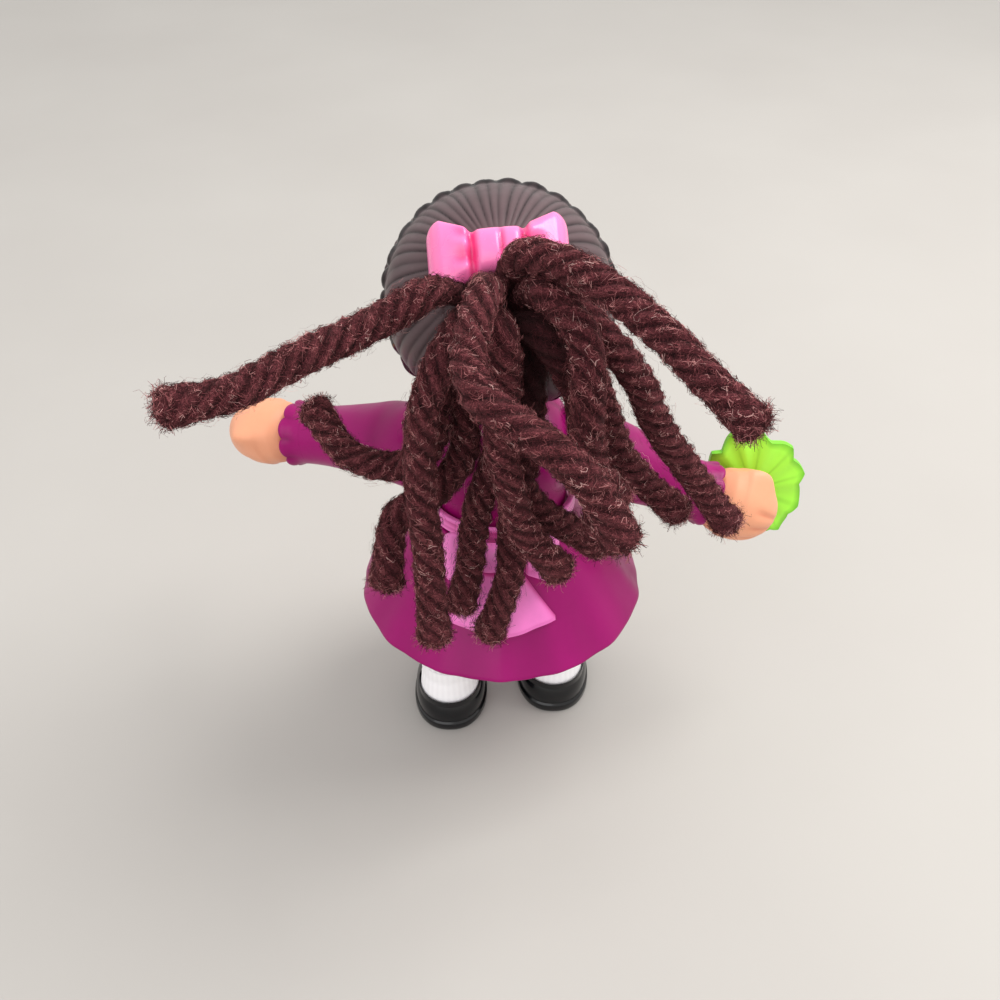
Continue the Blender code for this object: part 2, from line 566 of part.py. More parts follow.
def build_hair_cap(hair, head):
    """The hair cap: ridges run from the yarn hole to a rolled, scalloped rim."""
    count = 2 * HAIR_RIDGES
    narrowest = min(HEAD_HALF_WIDTH, HEAD_HALF_DEPTH, HEAD_HALF_HEIGHT)
    start = math.asin(HOLE_RADIUS / narrowest)
    span = HAIR_RIM_ANGLE - start
    rings = []
    for part in (0.0, 0.2, 0.45, 0.7, 0.86, 0.91, HAIR_ROLL_PLACE, 0.985, 1.0):
        roll = HAIR_RIM_ROLL * math.exp(-((part - HAIR_ROLL_PLACE) / HAIR_ROLL_SPREAD) ** 2)
        depth = HAIR_RIDGE_DEPTH * ease(part / 0.4)
        ring = []
        for step in range(count):
            around = 2.0 * math.pi * step / count
            ridge = math.cos(HAIR_RIDGES * around)
            lift = depth * ridge + roll * (1.0 - HAIR_RIM_SCALLOP + HAIR_RIM_SCALLOP * ridge)
            ring.append(head_point(start + span * part, around, lift))
        rings.append(ring)
    inner_start = math.asin(HOLE_RADIUS / (narrowest - HEAD_WALL))
    inner_span = HAIR_RIM_ANGLE - inner_start
    for part in (1.0, 0.6, 0.3, 0.0):
        rings.append([head_point(inner_start + inner_span * part, 2.0 * math.pi * step / count, -HEAD_WALL)
                      for step in range(count)])
    loft("hair_cap", rings, hair, head, looped=True)


def build_fringe(hair, head):
    """The fringe over the forehead: locks that run forward from the cap's rim and end in points."""
    start = HAIR_RIM_ANGLE + 2.0 * GAP / HEAD_HALF_WIDTH
    columns = 4 * FRINGE_LOCKS
    rings = []
    for column in range(columns + 1):
        around = FRINGE_END + (math.pi - 2.0 * FRINGE_END) * column / columns
        lock = abs(math.sin(math.pi * FRINGE_LOCKS * column / columns))
        reach = FRINGE_REACH * math.sin(around) - FRINGE_LOCK_DEPTH * (1.0 - lock)
        ridge = HAIR_RIDGE_DEPTH * lock
        outer = [head_point(start + reach * part, around, GAP + (FRINGE_THICKNESS + ridge) * full)
                 for part, full in ((0.0, 0.35), (0.3, 0.8), (0.6, 1.0), (0.85, 0.8), (1.0, 0.45))]
        inner = [head_point(start + reach * part, around, GAP) for part in (1.0, 0.6, 0.3, 0.0)]
        rings.append(outer + inner)
    loft("hair_fringe", rings, hair, head)


def build_yarn_plug(hair, head):
    """The plug that closes the hole in the cap and carries the roots of the yarn."""
    face = HEAD_HALF_DEPTH - PLUG_RECESS
    radius = HOLE_RADIUS - GAP
    inside = HEAD_HALF_DEPTH - HEAD_WALL - 4.0 * GAP
    profile = ((radius + PLUG_FLANGE, face - PLUG_LENGTH), (radius + PLUG_FLANGE, inside - PLUG_FLANGE),
               (radius - GAP, inside), (radius - GAP, face))
    turned("yarn_plug", profile, hair, head, 24, frame_along(HAIR_AXIS))


def build_hair_bow(pink, head):
    """The bow that sits on the cap above the yarn, leaning a little to the doll's left."""
    out = Vector((0.0, math.cos(HAIR_BOW_LIFT), math.sin(HAIR_BOW_LIFT)))
    up = Vector((0.0, -math.sin(HAIR_BOW_LIFT), math.cos(HAIR_BOW_LIFT)))
    seat = HEAD_HALF_DEPTH * out.y ** 2 + HEAD_HALF_HEIGHT * out.z ** 2 + HAIR_RIDGE_DEPTH + GAP
    axes = Matrix((X_AXIS, up, out)).transposed().to_4x4()
    place = Matrix.Translation(out * seat) @ axes @ Matrix.Rotation(-HAIR_BOW_LEAN, 4, "Z")
    droop = 0.4 / HEAD_HALF_WIDTH
    rings = bow_rings(HAIR_BOW_WIDTH, HAIR_BOW_KNOT_HEIGHT, HAIR_BOW_END_HEIGHT, HAIR_BOW_THICKNESS, droop)
    loft("hair_bow", [[place @ point for point in ring] for ring in rings], pink, head)


def smooth_route(route):
    """Points close together on a smooth curve through a route's points."""
    knots = np.array([2.0 * route[0] - route[1], *route, 2.0 * route[-1] - route[-2]])
    parts = np.linspace(0.0, 1.0, 16, endpoint=False)[:, None]
    pieces = []
    for before, start, end, after in zip(knots, knots[1:], knots[2:], knots[3:]):
        spans = [np.sqrt(np.linalg.norm(b - a)) for a, b in ((before, start), (start, end), (end, after))]
        t1 = spans[0]
        t2 = t1 + spans[1]
        t3 = t2 + spans[2]
        t = t1 + parts * spans[1]
        a1 = ((t1 - t) * before + t * start) / t1
        a2 = ((t2 - t) * start + (t - t1) * end) / spans[1]
        a3 = ((t3 - t) * end + (t - t2) * after) / spans[2]
        b1 = ((t2 - t) * a1 + t * a2) / t2
        b2 = ((t3 - t) * a2 + (t - t1) * a3) / (t3 - t1)
        pieces.append(((t2 - t) * b1 + (t - t1) * b2) / spans[1])
    return np.vstack(pieces + [route[-1:]])


def yarn_route(ring, degrees, passes):
    """Route of one strand: its root on the plug, straight out of the hole, then its own points."""
    reach = {"inner": INNER_ROOT_RING, "outer": OUTER_ROOT_RING}[ring]
    angle = math.radians(degrees)
    offset = (X_AXIS * math.cos(angle) + HAIR_UP * math.sin(angle)) * reach
    root = HAIR_AXIS * (HEAD_HALF_DEPTH - PLUG_RECESS + GAP) + offset
    out = root + HAIR_AXIS * YARN_STRAIGHT_LENGTH + offset * 0.12
    return np.array([root, out] + [Vector(point) * MM for point in passes])


def build_yarn(brown, head):
    """The strands of yarn: plain tubes that are thin in the hole and swell to full width."""
    for number, (ring, degrees, passes) in enumerate(YARN_ROUTES, 1):
        curve_points = smooth_route(yarn_route(ring, degrees, passes))
        steps = np.linalg.norm(np.diff(curve_points, axis=0), axis=1)
        along = np.concatenate(([0.0], np.cumsum(steps)))
        count = round((along[-1] - YARN_STRAIGHT_LENGTH) / YARN_POINT_SPACING) + 1
        places = np.concatenate(([0.0], np.linspace(YARN_STRAIGHT_LENGTH, along[-1], count)))
        points = np.stack([np.interp(places, along, curve_points[:, axis]) for axis in range(3)], axis=1)
        curve = bpy.data.curves.new(f"yarn_strand_{number:02d}", "CURVE")
        curve.dimensions = "3D"
        curve.bevel_depth = YARN_RADIUS
        curve.bevel_resolution = 2
        curve.use_fill_caps = True
        spline = curve.splines.new("POLY")
        spline.points.add(len(places) - 1)
        for spot, place, distance in zip(spline.points, points, places):
            swell = ease(distance / YARN_SWELL_LENGTH)
            spot.co = (*place, 1.0)
            spot.radius = (YARN_ROOT_RADIUS + (YARN_RADIUS - YARN_ROOT_RADIUS) * swell) / YARN_RADIUS
        spline.use_smooth = True
        add_object(f"yarn_strand_{number:02d}", curve, brown, head)


def arm_axis(side):
    """Direction of an arm before its swing: outwards, and forward by the cone's half angle."""
    return Vector((side * math.cos(ARM_CONE), -math.sin(ARM_CONE), 0.0))


def arm_ring(side, distance, half_width, half_thickness, count, wave=0.0):
    """Section of an arm at a distance from its shoulder: square to the peg there, then to the arm."""
    bend = ease(distance / SLEEVE_ROOT_RADIUS)
    angle = ARM_CONE * bend
    facing = Vector((side * math.cos(angle), -math.sin(angle), 0.0))
    across = facing.cross(Z_AXIS)
    middle = X_AXIS * (side * distance) * (1.0 - bend) + arm_axis(side) * distance * bend
    ring = []
    for step in range(count):
        turn = 2.0 * math.pi * step / count
        scale = 1.0 + wave * math.cos(CUFF_SCALLOPS * turn) / half_width
        ring.append(middle + across * (half_width * scale * math.cos(turn))
                    + Z_AXIS * (half_thickness * scale * math.sin(turn)))
    return ring


def build_arm(side, name, finishes, shoulder):
    """Sleeve, cuff, hand and shoulder peg of one arm, about its shoulder and before its swing."""
    magenta, skin, cream = finishes
    axis = arm_axis(side)
    outward = X_AXIS * side

    rings = []
    for part in (0.0, 0.12, 0.25, 0.5, 0.78, 1.0):
        radius = SLEEVE_ROOT_RADIUS + (SLEEVE_END_RADIUS - SLEEVE_ROOT_RADIUS) * ease(part)
        rings.append(arm_ring(side, SLEEVE_LENGTH * part, radius, radius, 20))
    sleeve = loft(f"{name}_sleeve", rings, magenta, shoulder)
    peg_hole = ((PEG_BORE, -SHOULDER_PEG_DEPTH), (PEG_BORE, SHOULDER_PEG_DEPTH))
    peg_socket = cutter(f"{name}_peg_socket", peg_hole, outward, Vector(), shoulder)
    combine(sleeve, peg_socket, "DIFFERENCE")
    wrist_bore = WRIST_RADIUS + PEG_CLEARANCE
    wrist_socket = cutter(f"{name}_wrist_socket", ((wrist_bore, -WRIST_DEPTH), (wrist_bore, WRIST_DEPTH)),
                          axis, axis * SLEEVE_LENGTH, shoulder)
    combine(sleeve, wrist_socket, "DIFFERENCE")

    cuff_start = SLEEVE_LENGTH + GAP
    count = 2 * CUFF_SCALLOPS
    shape = ((0.0, SLEEVE_END_RADIUS + 0.2 * MM, 0.0), (0.35, SLEEVE_END_RADIUS + 0.3 * MM, 0.0),
             (0.75, CUFF_RADIUS, CUFF_SCALLOP), (1.0, CUFF_RADIUS - 0.2 * MM, CUFF_SCALLOP))
    rings = [arm_ring(side, cuff_start + CUFF_LENGTH * part, radius, radius, count, wave)
             for part, radius, wave in shape]
    rings += [arm_ring(side, distance, wrist_bore, wrist_bore, count) for distance in (CUFF_END, cuff_start)]
    loft(f"{name}_cuff", rings, magenta, shoulder, looped=True)

    palm = CUFF_END + GAP
    shape = ((0.0, 0.68, 0.7), (0.14, 0.9, 0.9), (0.38, 1.0, 1.0), (0.62, 0.99, 0.97), (0.82, 0.87, 0.84),
             (0.94, 0.62, 0.6), (1.0, 0.3, 0.3))
    rings = [arm_ring(side, distance, WRIST_RADIUS, WRIST_RADIUS, 20)
             for distance in (SLEEVE_LENGTH - WRIST_DEPTH + PEG_CLEARANCE, palm)]
    length = HAND_END - palm
    rings += [arm_ring(side, palm + length * part, HAND_HALF_WIDTH * wide, HAND_HALF_THICKNESS * thick, 20)
              for part, wide, thick in shape]
    hand = loft(f"{name}_hand", rings, skin, shoulder)
    across = axis.cross(Z_AXIS) * side
    thumb_root = axis * (CUFF_END + 0.36 * HAND_LENGTH) - across * (0.72 * HAND_HALF_WIDTH)
    thumb_way = (axis * 0.75 - across * 0.66).normalized()
    taper = ((0.5, -0.3), (1.0, 0.0), (1.0, 0.62), (0.8, 0.85), (0.3, 1.0))
    thumb = cutter(f"{name}_thumb", [(THUMB_RADIUS * wide, THUMB_LENGTH * part) for wide, part in taper],
                   thumb_way, thumb_root, shoulder, 12)
    combine(hand, thumb, "UNION")

    boss_gap = SHOULDER_SPAN + GAP
    inner = peg_flange_reach() - boss_gap
    profile = ((PEG_FLANGE_RADIUS, inner - PEG_FLANGE_THICKNESS), (PEG_FLANGE_RADIUS, inner),
               (SHOULDER_PEG_RADIUS, inner), (SHOULDER_PEG_RADIUS, SHOULDER_PEG_DEPTH - PEG_CLEARANCE))
    turned(f"{name}_shoulder_peg", profile, cream, shoulder, 24, frame_along(outward))


def build_leaf(green, shoulder):
    """A leaf with a toothed edge and a bent blade, held against the right palm."""
    axis = arm_axis(-1)
    across = axis.cross(Z_AXIS)
    middle = axis * (HAND_END + LEAF_OVERHANG - 0.5 * LEAF_LENGTH) - across * LEAF_DROP
    middle += Z_AXIS * (HAND_HALF_THICKNESS + GAP)
    count = 3 * LEAF_TEETH
    rings = []
    for lift, scale in ((0.0, 0.35), (0.0, 1.0), (LEAF_THICKNESS, 1.0), (LEAF_THICKNESS, 0.35)):
        ring = []
        for step in range(count):
            angle = 2.0 * math.pi * step / count
            tooth = LEAF_TOOTH_DEPTH * (step % 3) / 2.0 * scale
            along = (0.5 * LEAF_LENGTH - tooth) * math.cos(angle) * scale * (1.0 - 0.3 * math.sin(angle))
            aside = (0.5 * LEAF_WIDTH - tooth) * math.sin(angle) * scale
            bend = LEAF_BEND * (aside / (0.5 * LEAF_WIDTH)) ** 2
            ring.append(middle + axis * along + across * aside + Z_AXIS * (lift + bend))
        rings.append(ring)
    loft("leaf_sprig", rings, green, shoulder)


def stand_over_origin():
    """Slide the whole doll sideways, so that the origin is under the middle of its box."""
    for obj in bpy.data.objects:
        if obj.parent is None:
            obj.location.x += FIGURE_SHIFT


def main():
    clear_scene()
    skin = plastic("skin_vinyl", (0.93, 0.41, 0.23), 0.45)
    magenta = plastic("dress_magenta", (0.38, 0.017, 0.19), 0.35)
    pink = plastic("sash_pink", (0.87, 0.2, 0.55), 0.35)
    bow_pink = plastic("bow_pink", (0.95, 0.22, 0.42), 0.3)
    hair = plastic("hair_brown", (0.07, 0.048, 0.048), 0.35)
    yarn = plastic("yarn_brown", (0.062, 0.022, 0.024), 0.9)
    white = plastic("sock_white", (0.83, 0.81, 0.83), 0.5)
    black = plastic("shoe_black", (0.01, 0.011, 0.014), 0.25)
    green = plastic("leaf_green", (0.4, 1.0, 0.07), 0.4)
    cream = plastic("inner_cream", (0.75, 0.7, 0.6), 0.5)

    heel_shift = 0.5 * FOOT_STAGGER
    left_foot = pivot("left_foot", Vector((FOOT_SPREAD, heel_shift, 0.0)))
    right_foot = pivot("right_foot", Vector((-FOOT_SPREAD, -heel_shift, 0.0)))
    build_leg(1, "left", (skin, white, black), left_foot)
    build_leg(-1, "right", (skin, white, black), right_foot)
    build_skirt(magenta)
    build_hip_core(cream)
    build_bodice(magenta)
    build_sash(pink)
    build_neck(skin)

    head = pivot("head_pivot", HEAD_CENTRE)
    build_face(skin, head)
    build_hair_cap(hair, head)
    build_fringe(hair, head)
    build_yarn_plug(hair, head)
    build_hair_bow(bow_pink, head)
    build_yarn(yarn, head)

    shoulder_reach = SHOULDER_SPAN + GAP
    for side, name, swing in ((1, "left", LEFT_ARM_SWING), (-1, "right", RIGHT_ARM_SWING)):
        place = Vector((side * shoulder_reach, 0.0, SHOULDER_HEIGHT))
        shoulder = pivot(f"{name}_shoulder", place, -swing)
        build_arm(side, name, (magenta, skin, cream), shoulder)
        if name == "right":
            build_leaf(green, shoulder)
    stand_over_origin()


main()
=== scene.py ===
# %% [markdown]
# # A moulded doll with a ponytail of yarn
# The doll is a small hollow vinyl figure. It has a round head under a moulded hair cap, a bell skirt with a
# sash, two arms that turn at the shoulders, and fourteen thick strands of yarn set in a hole in the cap.
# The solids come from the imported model, and this lesson dresses them: every piece is a surface worked out
# with numpy, set in the same frame, and given a finish made of shader nodes.

import bpy
import numpy as np
from mathutils import Matrix


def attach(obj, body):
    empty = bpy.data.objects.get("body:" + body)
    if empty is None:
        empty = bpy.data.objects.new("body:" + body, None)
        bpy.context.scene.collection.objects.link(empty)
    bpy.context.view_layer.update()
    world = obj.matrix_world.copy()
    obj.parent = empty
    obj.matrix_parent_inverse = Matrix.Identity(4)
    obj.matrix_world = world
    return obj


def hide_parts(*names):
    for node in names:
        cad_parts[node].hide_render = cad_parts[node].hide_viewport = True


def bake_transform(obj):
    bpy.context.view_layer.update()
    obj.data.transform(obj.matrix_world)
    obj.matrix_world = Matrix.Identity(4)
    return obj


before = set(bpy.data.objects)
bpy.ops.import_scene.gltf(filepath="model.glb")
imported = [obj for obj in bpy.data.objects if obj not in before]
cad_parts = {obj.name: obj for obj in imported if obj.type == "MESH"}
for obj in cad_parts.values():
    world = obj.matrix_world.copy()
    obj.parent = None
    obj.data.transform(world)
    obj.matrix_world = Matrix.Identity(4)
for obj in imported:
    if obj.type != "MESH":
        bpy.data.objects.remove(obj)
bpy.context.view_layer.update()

MM = 0.001

# %% [markdown]
# ## The camera
# The doll was seen from behind and from above, at about 39 degrees, through a short lens held close. A camera
# can be aimed with a constraint, but a matrix of its own three directions is plainer and keeps a small roll:
# the columns are its right, its up and the direction backwards out of the lens.

# %% Camera
LENS, SENSOR = 40.0, 36.0
LOOK_AT = np.array([2.1, 0.0, 38.9]) * MM
CAMERA_DISTANCE = 157.3 * MM
CAMERA_RISE, CAMERA_ROLL = np.radians(39.14), np.radians(0.4)

backward = np.array([0.0, np.cos(CAMERA_RISE), np.sin(CAMERA_RISE)])
level_right = np.array([-1.0, 0.0, 0.0])
level_up = np.cross(backward, level_right)
camera_right = level_right * np.cos(CAMERA_ROLL) - level_up * np.sin(CAMERA_ROLL)
camera_up = level_up * np.cos(CAMERA_ROLL) + level_right * np.sin(CAMERA_ROLL)
eye = LOOK_AT + backward * CAMERA_DISTANCE
lens = bpy.data.cameras.new("viewpoint")
lens.lens, lens.sensor_width = LENS, SENSOR
lens.clip_start, lens.clip_end = 0.005, 20.0
camera = bpy.data.objects.new("viewpoint", lens)
directions = np.column_stack([camera_right, camera_up, backward, eye])
camera.matrix_world = Matrix(np.vstack([directions, [0, 0, 0, 1]]).tolist())
bpy.context.scene.collection.objects.link(camera)
bpy.context.scene.camera = camera
print("camera at mm:", np.round(eye / MM, 1))

# %% [markdown]
# ## From a grid of points to a piece
# Each piece is a grid: rows of points, each row a ring. Two closed forms cover the whole doll. A tube has its
# first and last ring closed to their middles, and a hoop has its last ring joined to its first, like a
# doughnut. The faces are numbers of points, so they can be written down as whole arrays. A sum of signed
# tetrahedra gives the enclosed volume, and its sign tells whether the faces look outwards.

# %% Grids, tubes and hoops
def ring_faces(rows, columns, looped=False):
    """Corners of the quads between neighbouring rings: (r, c), (r, c+1), (r+1, c+1), (r+1, c)."""
    row = np.arange(rows if looped else rows - 1)[:, None]
    column = np.arange(columns)[None, :]
    below, after = (row + 1) % rows, (column + 1) % columns
    corners = [row * columns + column, row * columns + after,
               below * columns + after, below * columns + column]
    return np.stack(corners, axis=-1).reshape(-1, 4)


def facing_out(points, quads, tris):
    """Turn the faces over where the sum of signed tetrahedra, the enclosed volume, is negative."""
    thirds = np.vstack([quads[:, [0, 1, 2]], quads[:, [0, 2, 3]], tris]).astype(int)
    a, b, c = (points[thirds[:, k]] - points.mean(axis=0) for k in range(3))
    if np.einsum("ij,ij->", a, np.cross(b, c)) < 0.0:
        quads, tris = quads[:, ::-1], tris[:, ::-1]
    return points, quads, tris


def tube(grid):
    """A closed body through the rings of a grid, with a fan of triangles to the middle of each end ring."""
    rows, columns = grid.shape[:2]
    points = np.vstack([grid.reshape(-1, 3), grid[0].mean(axis=0), grid[-1].mean(axis=0)])
    here = np.arange(columns)
    after = (here + 1) % columns
    last = (rows - 1) * columns
    first_fan = np.stack([after, here, np.full(columns, rows * columns)], axis=1)
    last_fan = np.stack([last + here, last + after, np.full(columns, rows * columns + 1)], axis=1)
    return facing_out(points, ring_faces(rows, columns), np.vstack([first_fan, last_fan]))


def hoop(grid):
    """A closed body through the rings of a grid, whose last ring joins the first."""
    rows, columns = grid.shape[:2]
    return facing_out(grid.reshape(-1, 3), ring_faces(rows, columns, looped=True), np.zeros((0, 3), int))


# %% [markdown]
# The next function puts such arrays into a mesh in one go. It also stores values on the points, such as the
# painted shade in a groove or fold, for the finishes to read. Then it hangs the piece on the body of the doll
# that it moves with, hides the imported solids that it stands for and gives it its finish.

# %% Make a piece
def make_piece(name, shape, finish, body, replaced=(), values=None, crease=None):
    """A mesh object from points, quads and triangles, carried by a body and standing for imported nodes."""
    points, quads, tris = shape
    mesh = bpy.data.meshes.new(name)
    corners = np.concatenate([quads.ravel(), tris.ravel()]).astype(np.int32)
    sizes = np.concatenate([np.full(len(quads), 4), np.full(len(tris), 3)])
    mesh.vertices.add(len(points))
    mesh.vertices.foreach_set("co", points.astype(np.float32).ravel())
    mesh.loops.add(len(corners))
    mesh.loops.foreach_set("vertex_index", corners)
    mesh.polygons.add(len(sizes))
    mesh.polygons.foreach_set("loop_start", (np.cumsum(sizes) - sizes).astype(np.int32))
    mesh.update(calc_edges=True)
    mesh.validate()
    mesh.shade_smooth()
    if crease:
        mesh.set_sharp_from_angle(angle=np.radians(crease))
    for key, numbers in (values or {}).items():
        wide = numbers.ndim == 2
        layer = mesh.attributes.new(key, "FLOAT_VECTOR" if wide else "FLOAT", "POINT")
        layer.data.foreach_set("vector" if wide else "value", numbers.astype(np.float32).ravel())
    mesh.materials.append(finish)
    piece = bpy.data.objects.new(name, mesh)
    bpy.context.scene.collection.objects.link(piece)
    if body:
        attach(piece, body)
    if replaced:
        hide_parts(*replaced)
    print(f"{name}: {len(points)} points, {len(quads) * 2 + len(tris)} triangles")
    return piece


# %% [markdown]
# ## Node helpers
# A finish is a small graph of shader nodes. Adding nodes and links by hand takes many lines, so helpers do
# it. One adds a node with its settings and inputs, where an input is either a plain value or another node's
# socket. Three give the output of the nodes used most: arithmetic, noise and a value that a piece stores on
# its points. The last starts a finish with its Principled shader.

# %% Node helpers
def add_node(tree, kind, settings=None, **inputs):
    """A node with its settings and inputs; an input may be a value or another node's output."""
    node = tree.nodes.new(kind)
    for key, value in (settings or {}).items():
        setattr(node, key, value)
    for key, value in inputs.items():
        numbered = key[0] == "i" and key[1:].isdigit()
        socket = node.inputs[int(key[1:]) if numbered else key.replace("_", " ")]
        if isinstance(value, bpy.types.NodeSocket):
            tree.links.new(value, socket)
        else:
            socket.default_value = value
    return node


def arithmetic(tree, operation, *numbers, clamp=False):
    """Output of a Math node: one operation on values or sockets, kept between 0 and 1 where clamped."""
    inputs = {f"i{place}": number for place, number in enumerate(numbers)}
    settings = {"operation": operation, "use_clamp": clamp}
    return add_node(tree, "ShaderNodeMath", settings, **inputs).outputs[0]


def noise(tree, where, scale, **inputs):
    """Output of a Noise Texture node, from 0 to 1, at a place and a scale."""
    return add_node(tree, "ShaderNodeTexNoise", Vector=where, Scale=scale, **inputs).outputs["Fac"]


def stored(tree, name, output="Fac"):
    """Output of an Attribute node: a value that a piece stores on its points."""
    return add_node(tree, "ShaderNodeAttribute", {"attribute_name": name}).outputs[output]


def linear(red, green, blue):
    """A colour given as 0 to 255 screen values, as the linear values that shaders use."""
    screen = np.array([red, green, blue]) / 255.0
    bent = np.where(screen <= 0.04045, screen / 12.92, ((screen + 0.055) / 1.055) ** 2.4)
    return (*bent.tolist(), 1.0)


def new_finish(name):
    """A material with its node tree and its Principled shader."""
    material = bpy.data.materials.new(name)
    material.use_nodes = True
    tree = material.node_tree
    return material, tree, tree.nodes["Principled BSDF"]


# %% [markdown]
# ## The routes of the yarn
# Each strand is knotted into the hole at the back of the head, comes straight out, and then falls or stands
# out on its own way. A route is a few points that the strand passes, measured from the middle of the head,
# with a smooth curve through them. The curve is a Catmull-Rom spline: between two points it is blended from
# the straight lines through their neighbours, so it passes every point without a kink. The frame's middle is
# half way between the leaf and the other hand, so the doll stands a little to the left of it.

# %% Yarn routes
FIGURE_SHIFT, HEAD_HEIGHT = 1.993877 * MM, 70.75 * MM
HEAD = np.array([FIGURE_SHIFT, 0.0, HEAD_HEIGHT])
HAIR_TILT = np.radians(25.0)
LEFT = np.array([1.0, 0.0, 0.0])
ROOT_RINGS = {"inner": 1.4 * MM, "outer": 3.25 * MM}
ROOT_REACH, STRAIGHT_OUT = 13.5 * MM, 2.0 * MM
YARN_ROUTES = (
    ("outer", 22, ((7, 18, 11), (12, 21, 9.5), (20, 27, 8.5), (26, 31.5, 7.5), (33, 34.5, 7.5))),
    ("inner", 100, ((-2.5, 18, 15), (-8, 22.5, 15.5), (-15, 28, 12.5), (-20, 33.5, 9.5),
                    (-24.5, 37.5, 6.5))),
    ("outer", 146, ((-6, 16, 9.5), (-10, 19.5, 7.5), (-15, 19.5, 1), (-18, 17.5, -6.5),
                    (-23.5, 15, -16), (-29.5, 13.5, -25.5))),
    ("outer", 176, ((-6, 15.5, 6.5), (-9, 15, 2), (-12, 14.5, -6), (-14.5, 13.5, -13.5),
                    (-19, 12.5, -20), (-23.5, 12.5, -24.5))),
    ("outer", 352, ((4.5, 19, 7.5), (8, 23, 0.5), (9, 24, -8), (8.5, 26, -18), (8, 29.5, -30))),
    ("outer", 293, ((2.5, 15.5, 2), (4, 16.5, -5), (4.5, 16.5, -11.5), (8, 18, -16), (12.5, 19.5, -18.5),
                    (14, 24.5, -26))),
    ("outer", 322, ((5, 14.5, 3.5), (7, 18.5, -1.5), (8, 18.5, -8), (11, 16.5, -13), (18, 14, -13.5),
                    (23.5, 7.5, -10))),
    ("inner", 28, ((1.5, 22, 13), (3, 29, 10.5), (2, 34.5, 9), (-5, 39.5, 6), (-9, 40.5, 2),
                   (-12, 41, -4.5))),
    ("inner", 316, ((0, 23, 9), (-0.5, 23.5, 4), (0, 23.5, -5), (-1, 24, -10), (-2.5, 24, -16.5),
                    (-7.5, 24, -24))),
    ("inner", 172, ((-4.5, 20, 12), (-8.5, 24.5, 9), (-9, 27.5, 2.5), (-9.5, 27.5, -4),
                    (-13, 27, -10.5))),
    ("outer", 206, ((-4, 18.5, 4.5), (-2, 19.5, -5.5), (-2, 20, -12.5), (-4.5, 19.5, -17.5),
                    (-9, 17, -23), (-13, 15, -27.5))),
    ("outer", 264, ((0.5, 17, 1), (0, 16, -9.5), (3, 16.5, -20.5), (4, 17.5, -28.5), (5.5, 19, -35))),
    ("outer", 235, ((-3, 16, 0.5), (-3.5, 15, -9.5), (-1.5, 16, -21.5), (-1, 18.5, -29.5), (2, 20, -39))),
    ("inner", 244, ((-4, 21, 8), (-8, 22, 2), (-9.5, 22.5, -4), (-11, 22.5, -12), (-12, 22, -20))),
)


def tilted(angle):
    """Directions outward and upward on the doll's back, turned up from level by an angle."""
    return np.array([0.0, np.cos(angle), np.sin(angle)]), np.array([0.0, -np.sin(angle), np.cos(angle)])


def spline_through(knots, steps=16):
    """Points on a centripetal Catmull-Rom curve: straight lines between knots, blended three times over."""
    ends = np.vstack([2.0 * knots[0] - knots[1], knots, 2.0 * knots[-1] - knots[-2]])
    times = np.concatenate([[0.0], np.cumsum(np.sqrt(np.linalg.norm(np.diff(ends, axis=0), axis=1)))])
    p0, p1, p2, p3 = (ends[k:len(ends) - 3 + k, None] for k in range(4))
    t0, t1, t2, t3 = (times[k:len(ends) - 3 + k, None, None] for k in range(4))
    t = t1 + np.linspace(0.0, 1.0, steps, endpoint=False)[None, :, None] * (t2 - t1)
    spans = ((t0, t1, p0, p1), (t1, t2, p1, p2), (t2, t3, p2, p3))
    a1, a2, a3 = (((b - t) * p + (t - a) * q) / (b - a) for a, b, p, q in spans)
    b1 = ((t2 - t) * a1 + (t - t0) * a2) / (t2 - t0)
    b2 = ((t3 - t) * a2 + (t - t1) * a3) / (t3 - t1)
    curve = ((t2 - t) * b1 + (t - t1) * b2) / (t2 - t1)
    return np.vstack([curve.reshape(-1, 3), knots[-1]])


def strand_line(ring, degrees, passes):
    """The line of one strand in the doll's frame: out of its place in the hole, then through its points."""
    angle = np.radians(degrees)
    aside = (LEFT * np.cos(angle) + HAIR_UP * np.sin(angle)) * ROOT_RINGS[ring]
    root = HAIR_AXIS * ROOT_REACH + aside
    out = root + HAIR_AXIS * STRAIGHT_OUT + 0.12 * aside
    return HEAD + spline_through(np.vstack([root, out, np.array(passes) * MM]))


HAIR_AXIS, HAIR_UP = tilted(HAIR_TILT)
yarn_lines = [strand_line(*route) for route in YARN_ROUTES]
yarn_lengths = [np.linalg.norm(np.diff(line, axis=0), axis=1).sum() for line in yarn_lines]
print("yarn lengths in mm:", np.round(np.array(yarn_lengths) / MM, 1).tolist())

# %% [markdown]
# ## One strand as a twisted rope
# The yarn is a thick rope of five soft plies with a left-hand twist. A plain tube with a bump texture would
# have a smooth outline, so the plies are real: round the strand, the radius rises and falls five times, and
# that pattern turns as it goes along. The strand is squeezed thin in the hole, swells to its full width, and
# at the cut end the plies open into a soft felted knob. Four strands lie deep between the others, where
# little light gets in, so they come out of the dark later.

# %% Rope surface
YARN_RADIUS, ROOT_RADIUS, SWELL_LENGTH = 1.75 * MM, 0.75 * MM, 12.0 * MM
PLIES, TWIST_LENGTH = 5, 11.0 * MM
NEAR, DEEP = 10.0 * MM, {11: 30.0 * MM, 12: 18.0 * MM, 13: 18.0 * MM, 14: 26.0 * MM}
PLY_DEPTH, END_FLARE, END_LENGTH, DOME = 0.24, 0.14, 6.0 * MM, 1.5 * MM


def ease(x):
    """A smooth step from 0 to 1: three times the square less twice the cube."""
    x = np.clip(x, 0.0, 1.0)
    return x * x * (3.0 - 2.0 * x)


def unit(vectors):
    """The same directions with length one."""
    return vectors / np.linalg.norm(vectors, axis=-1, keepdims=True)


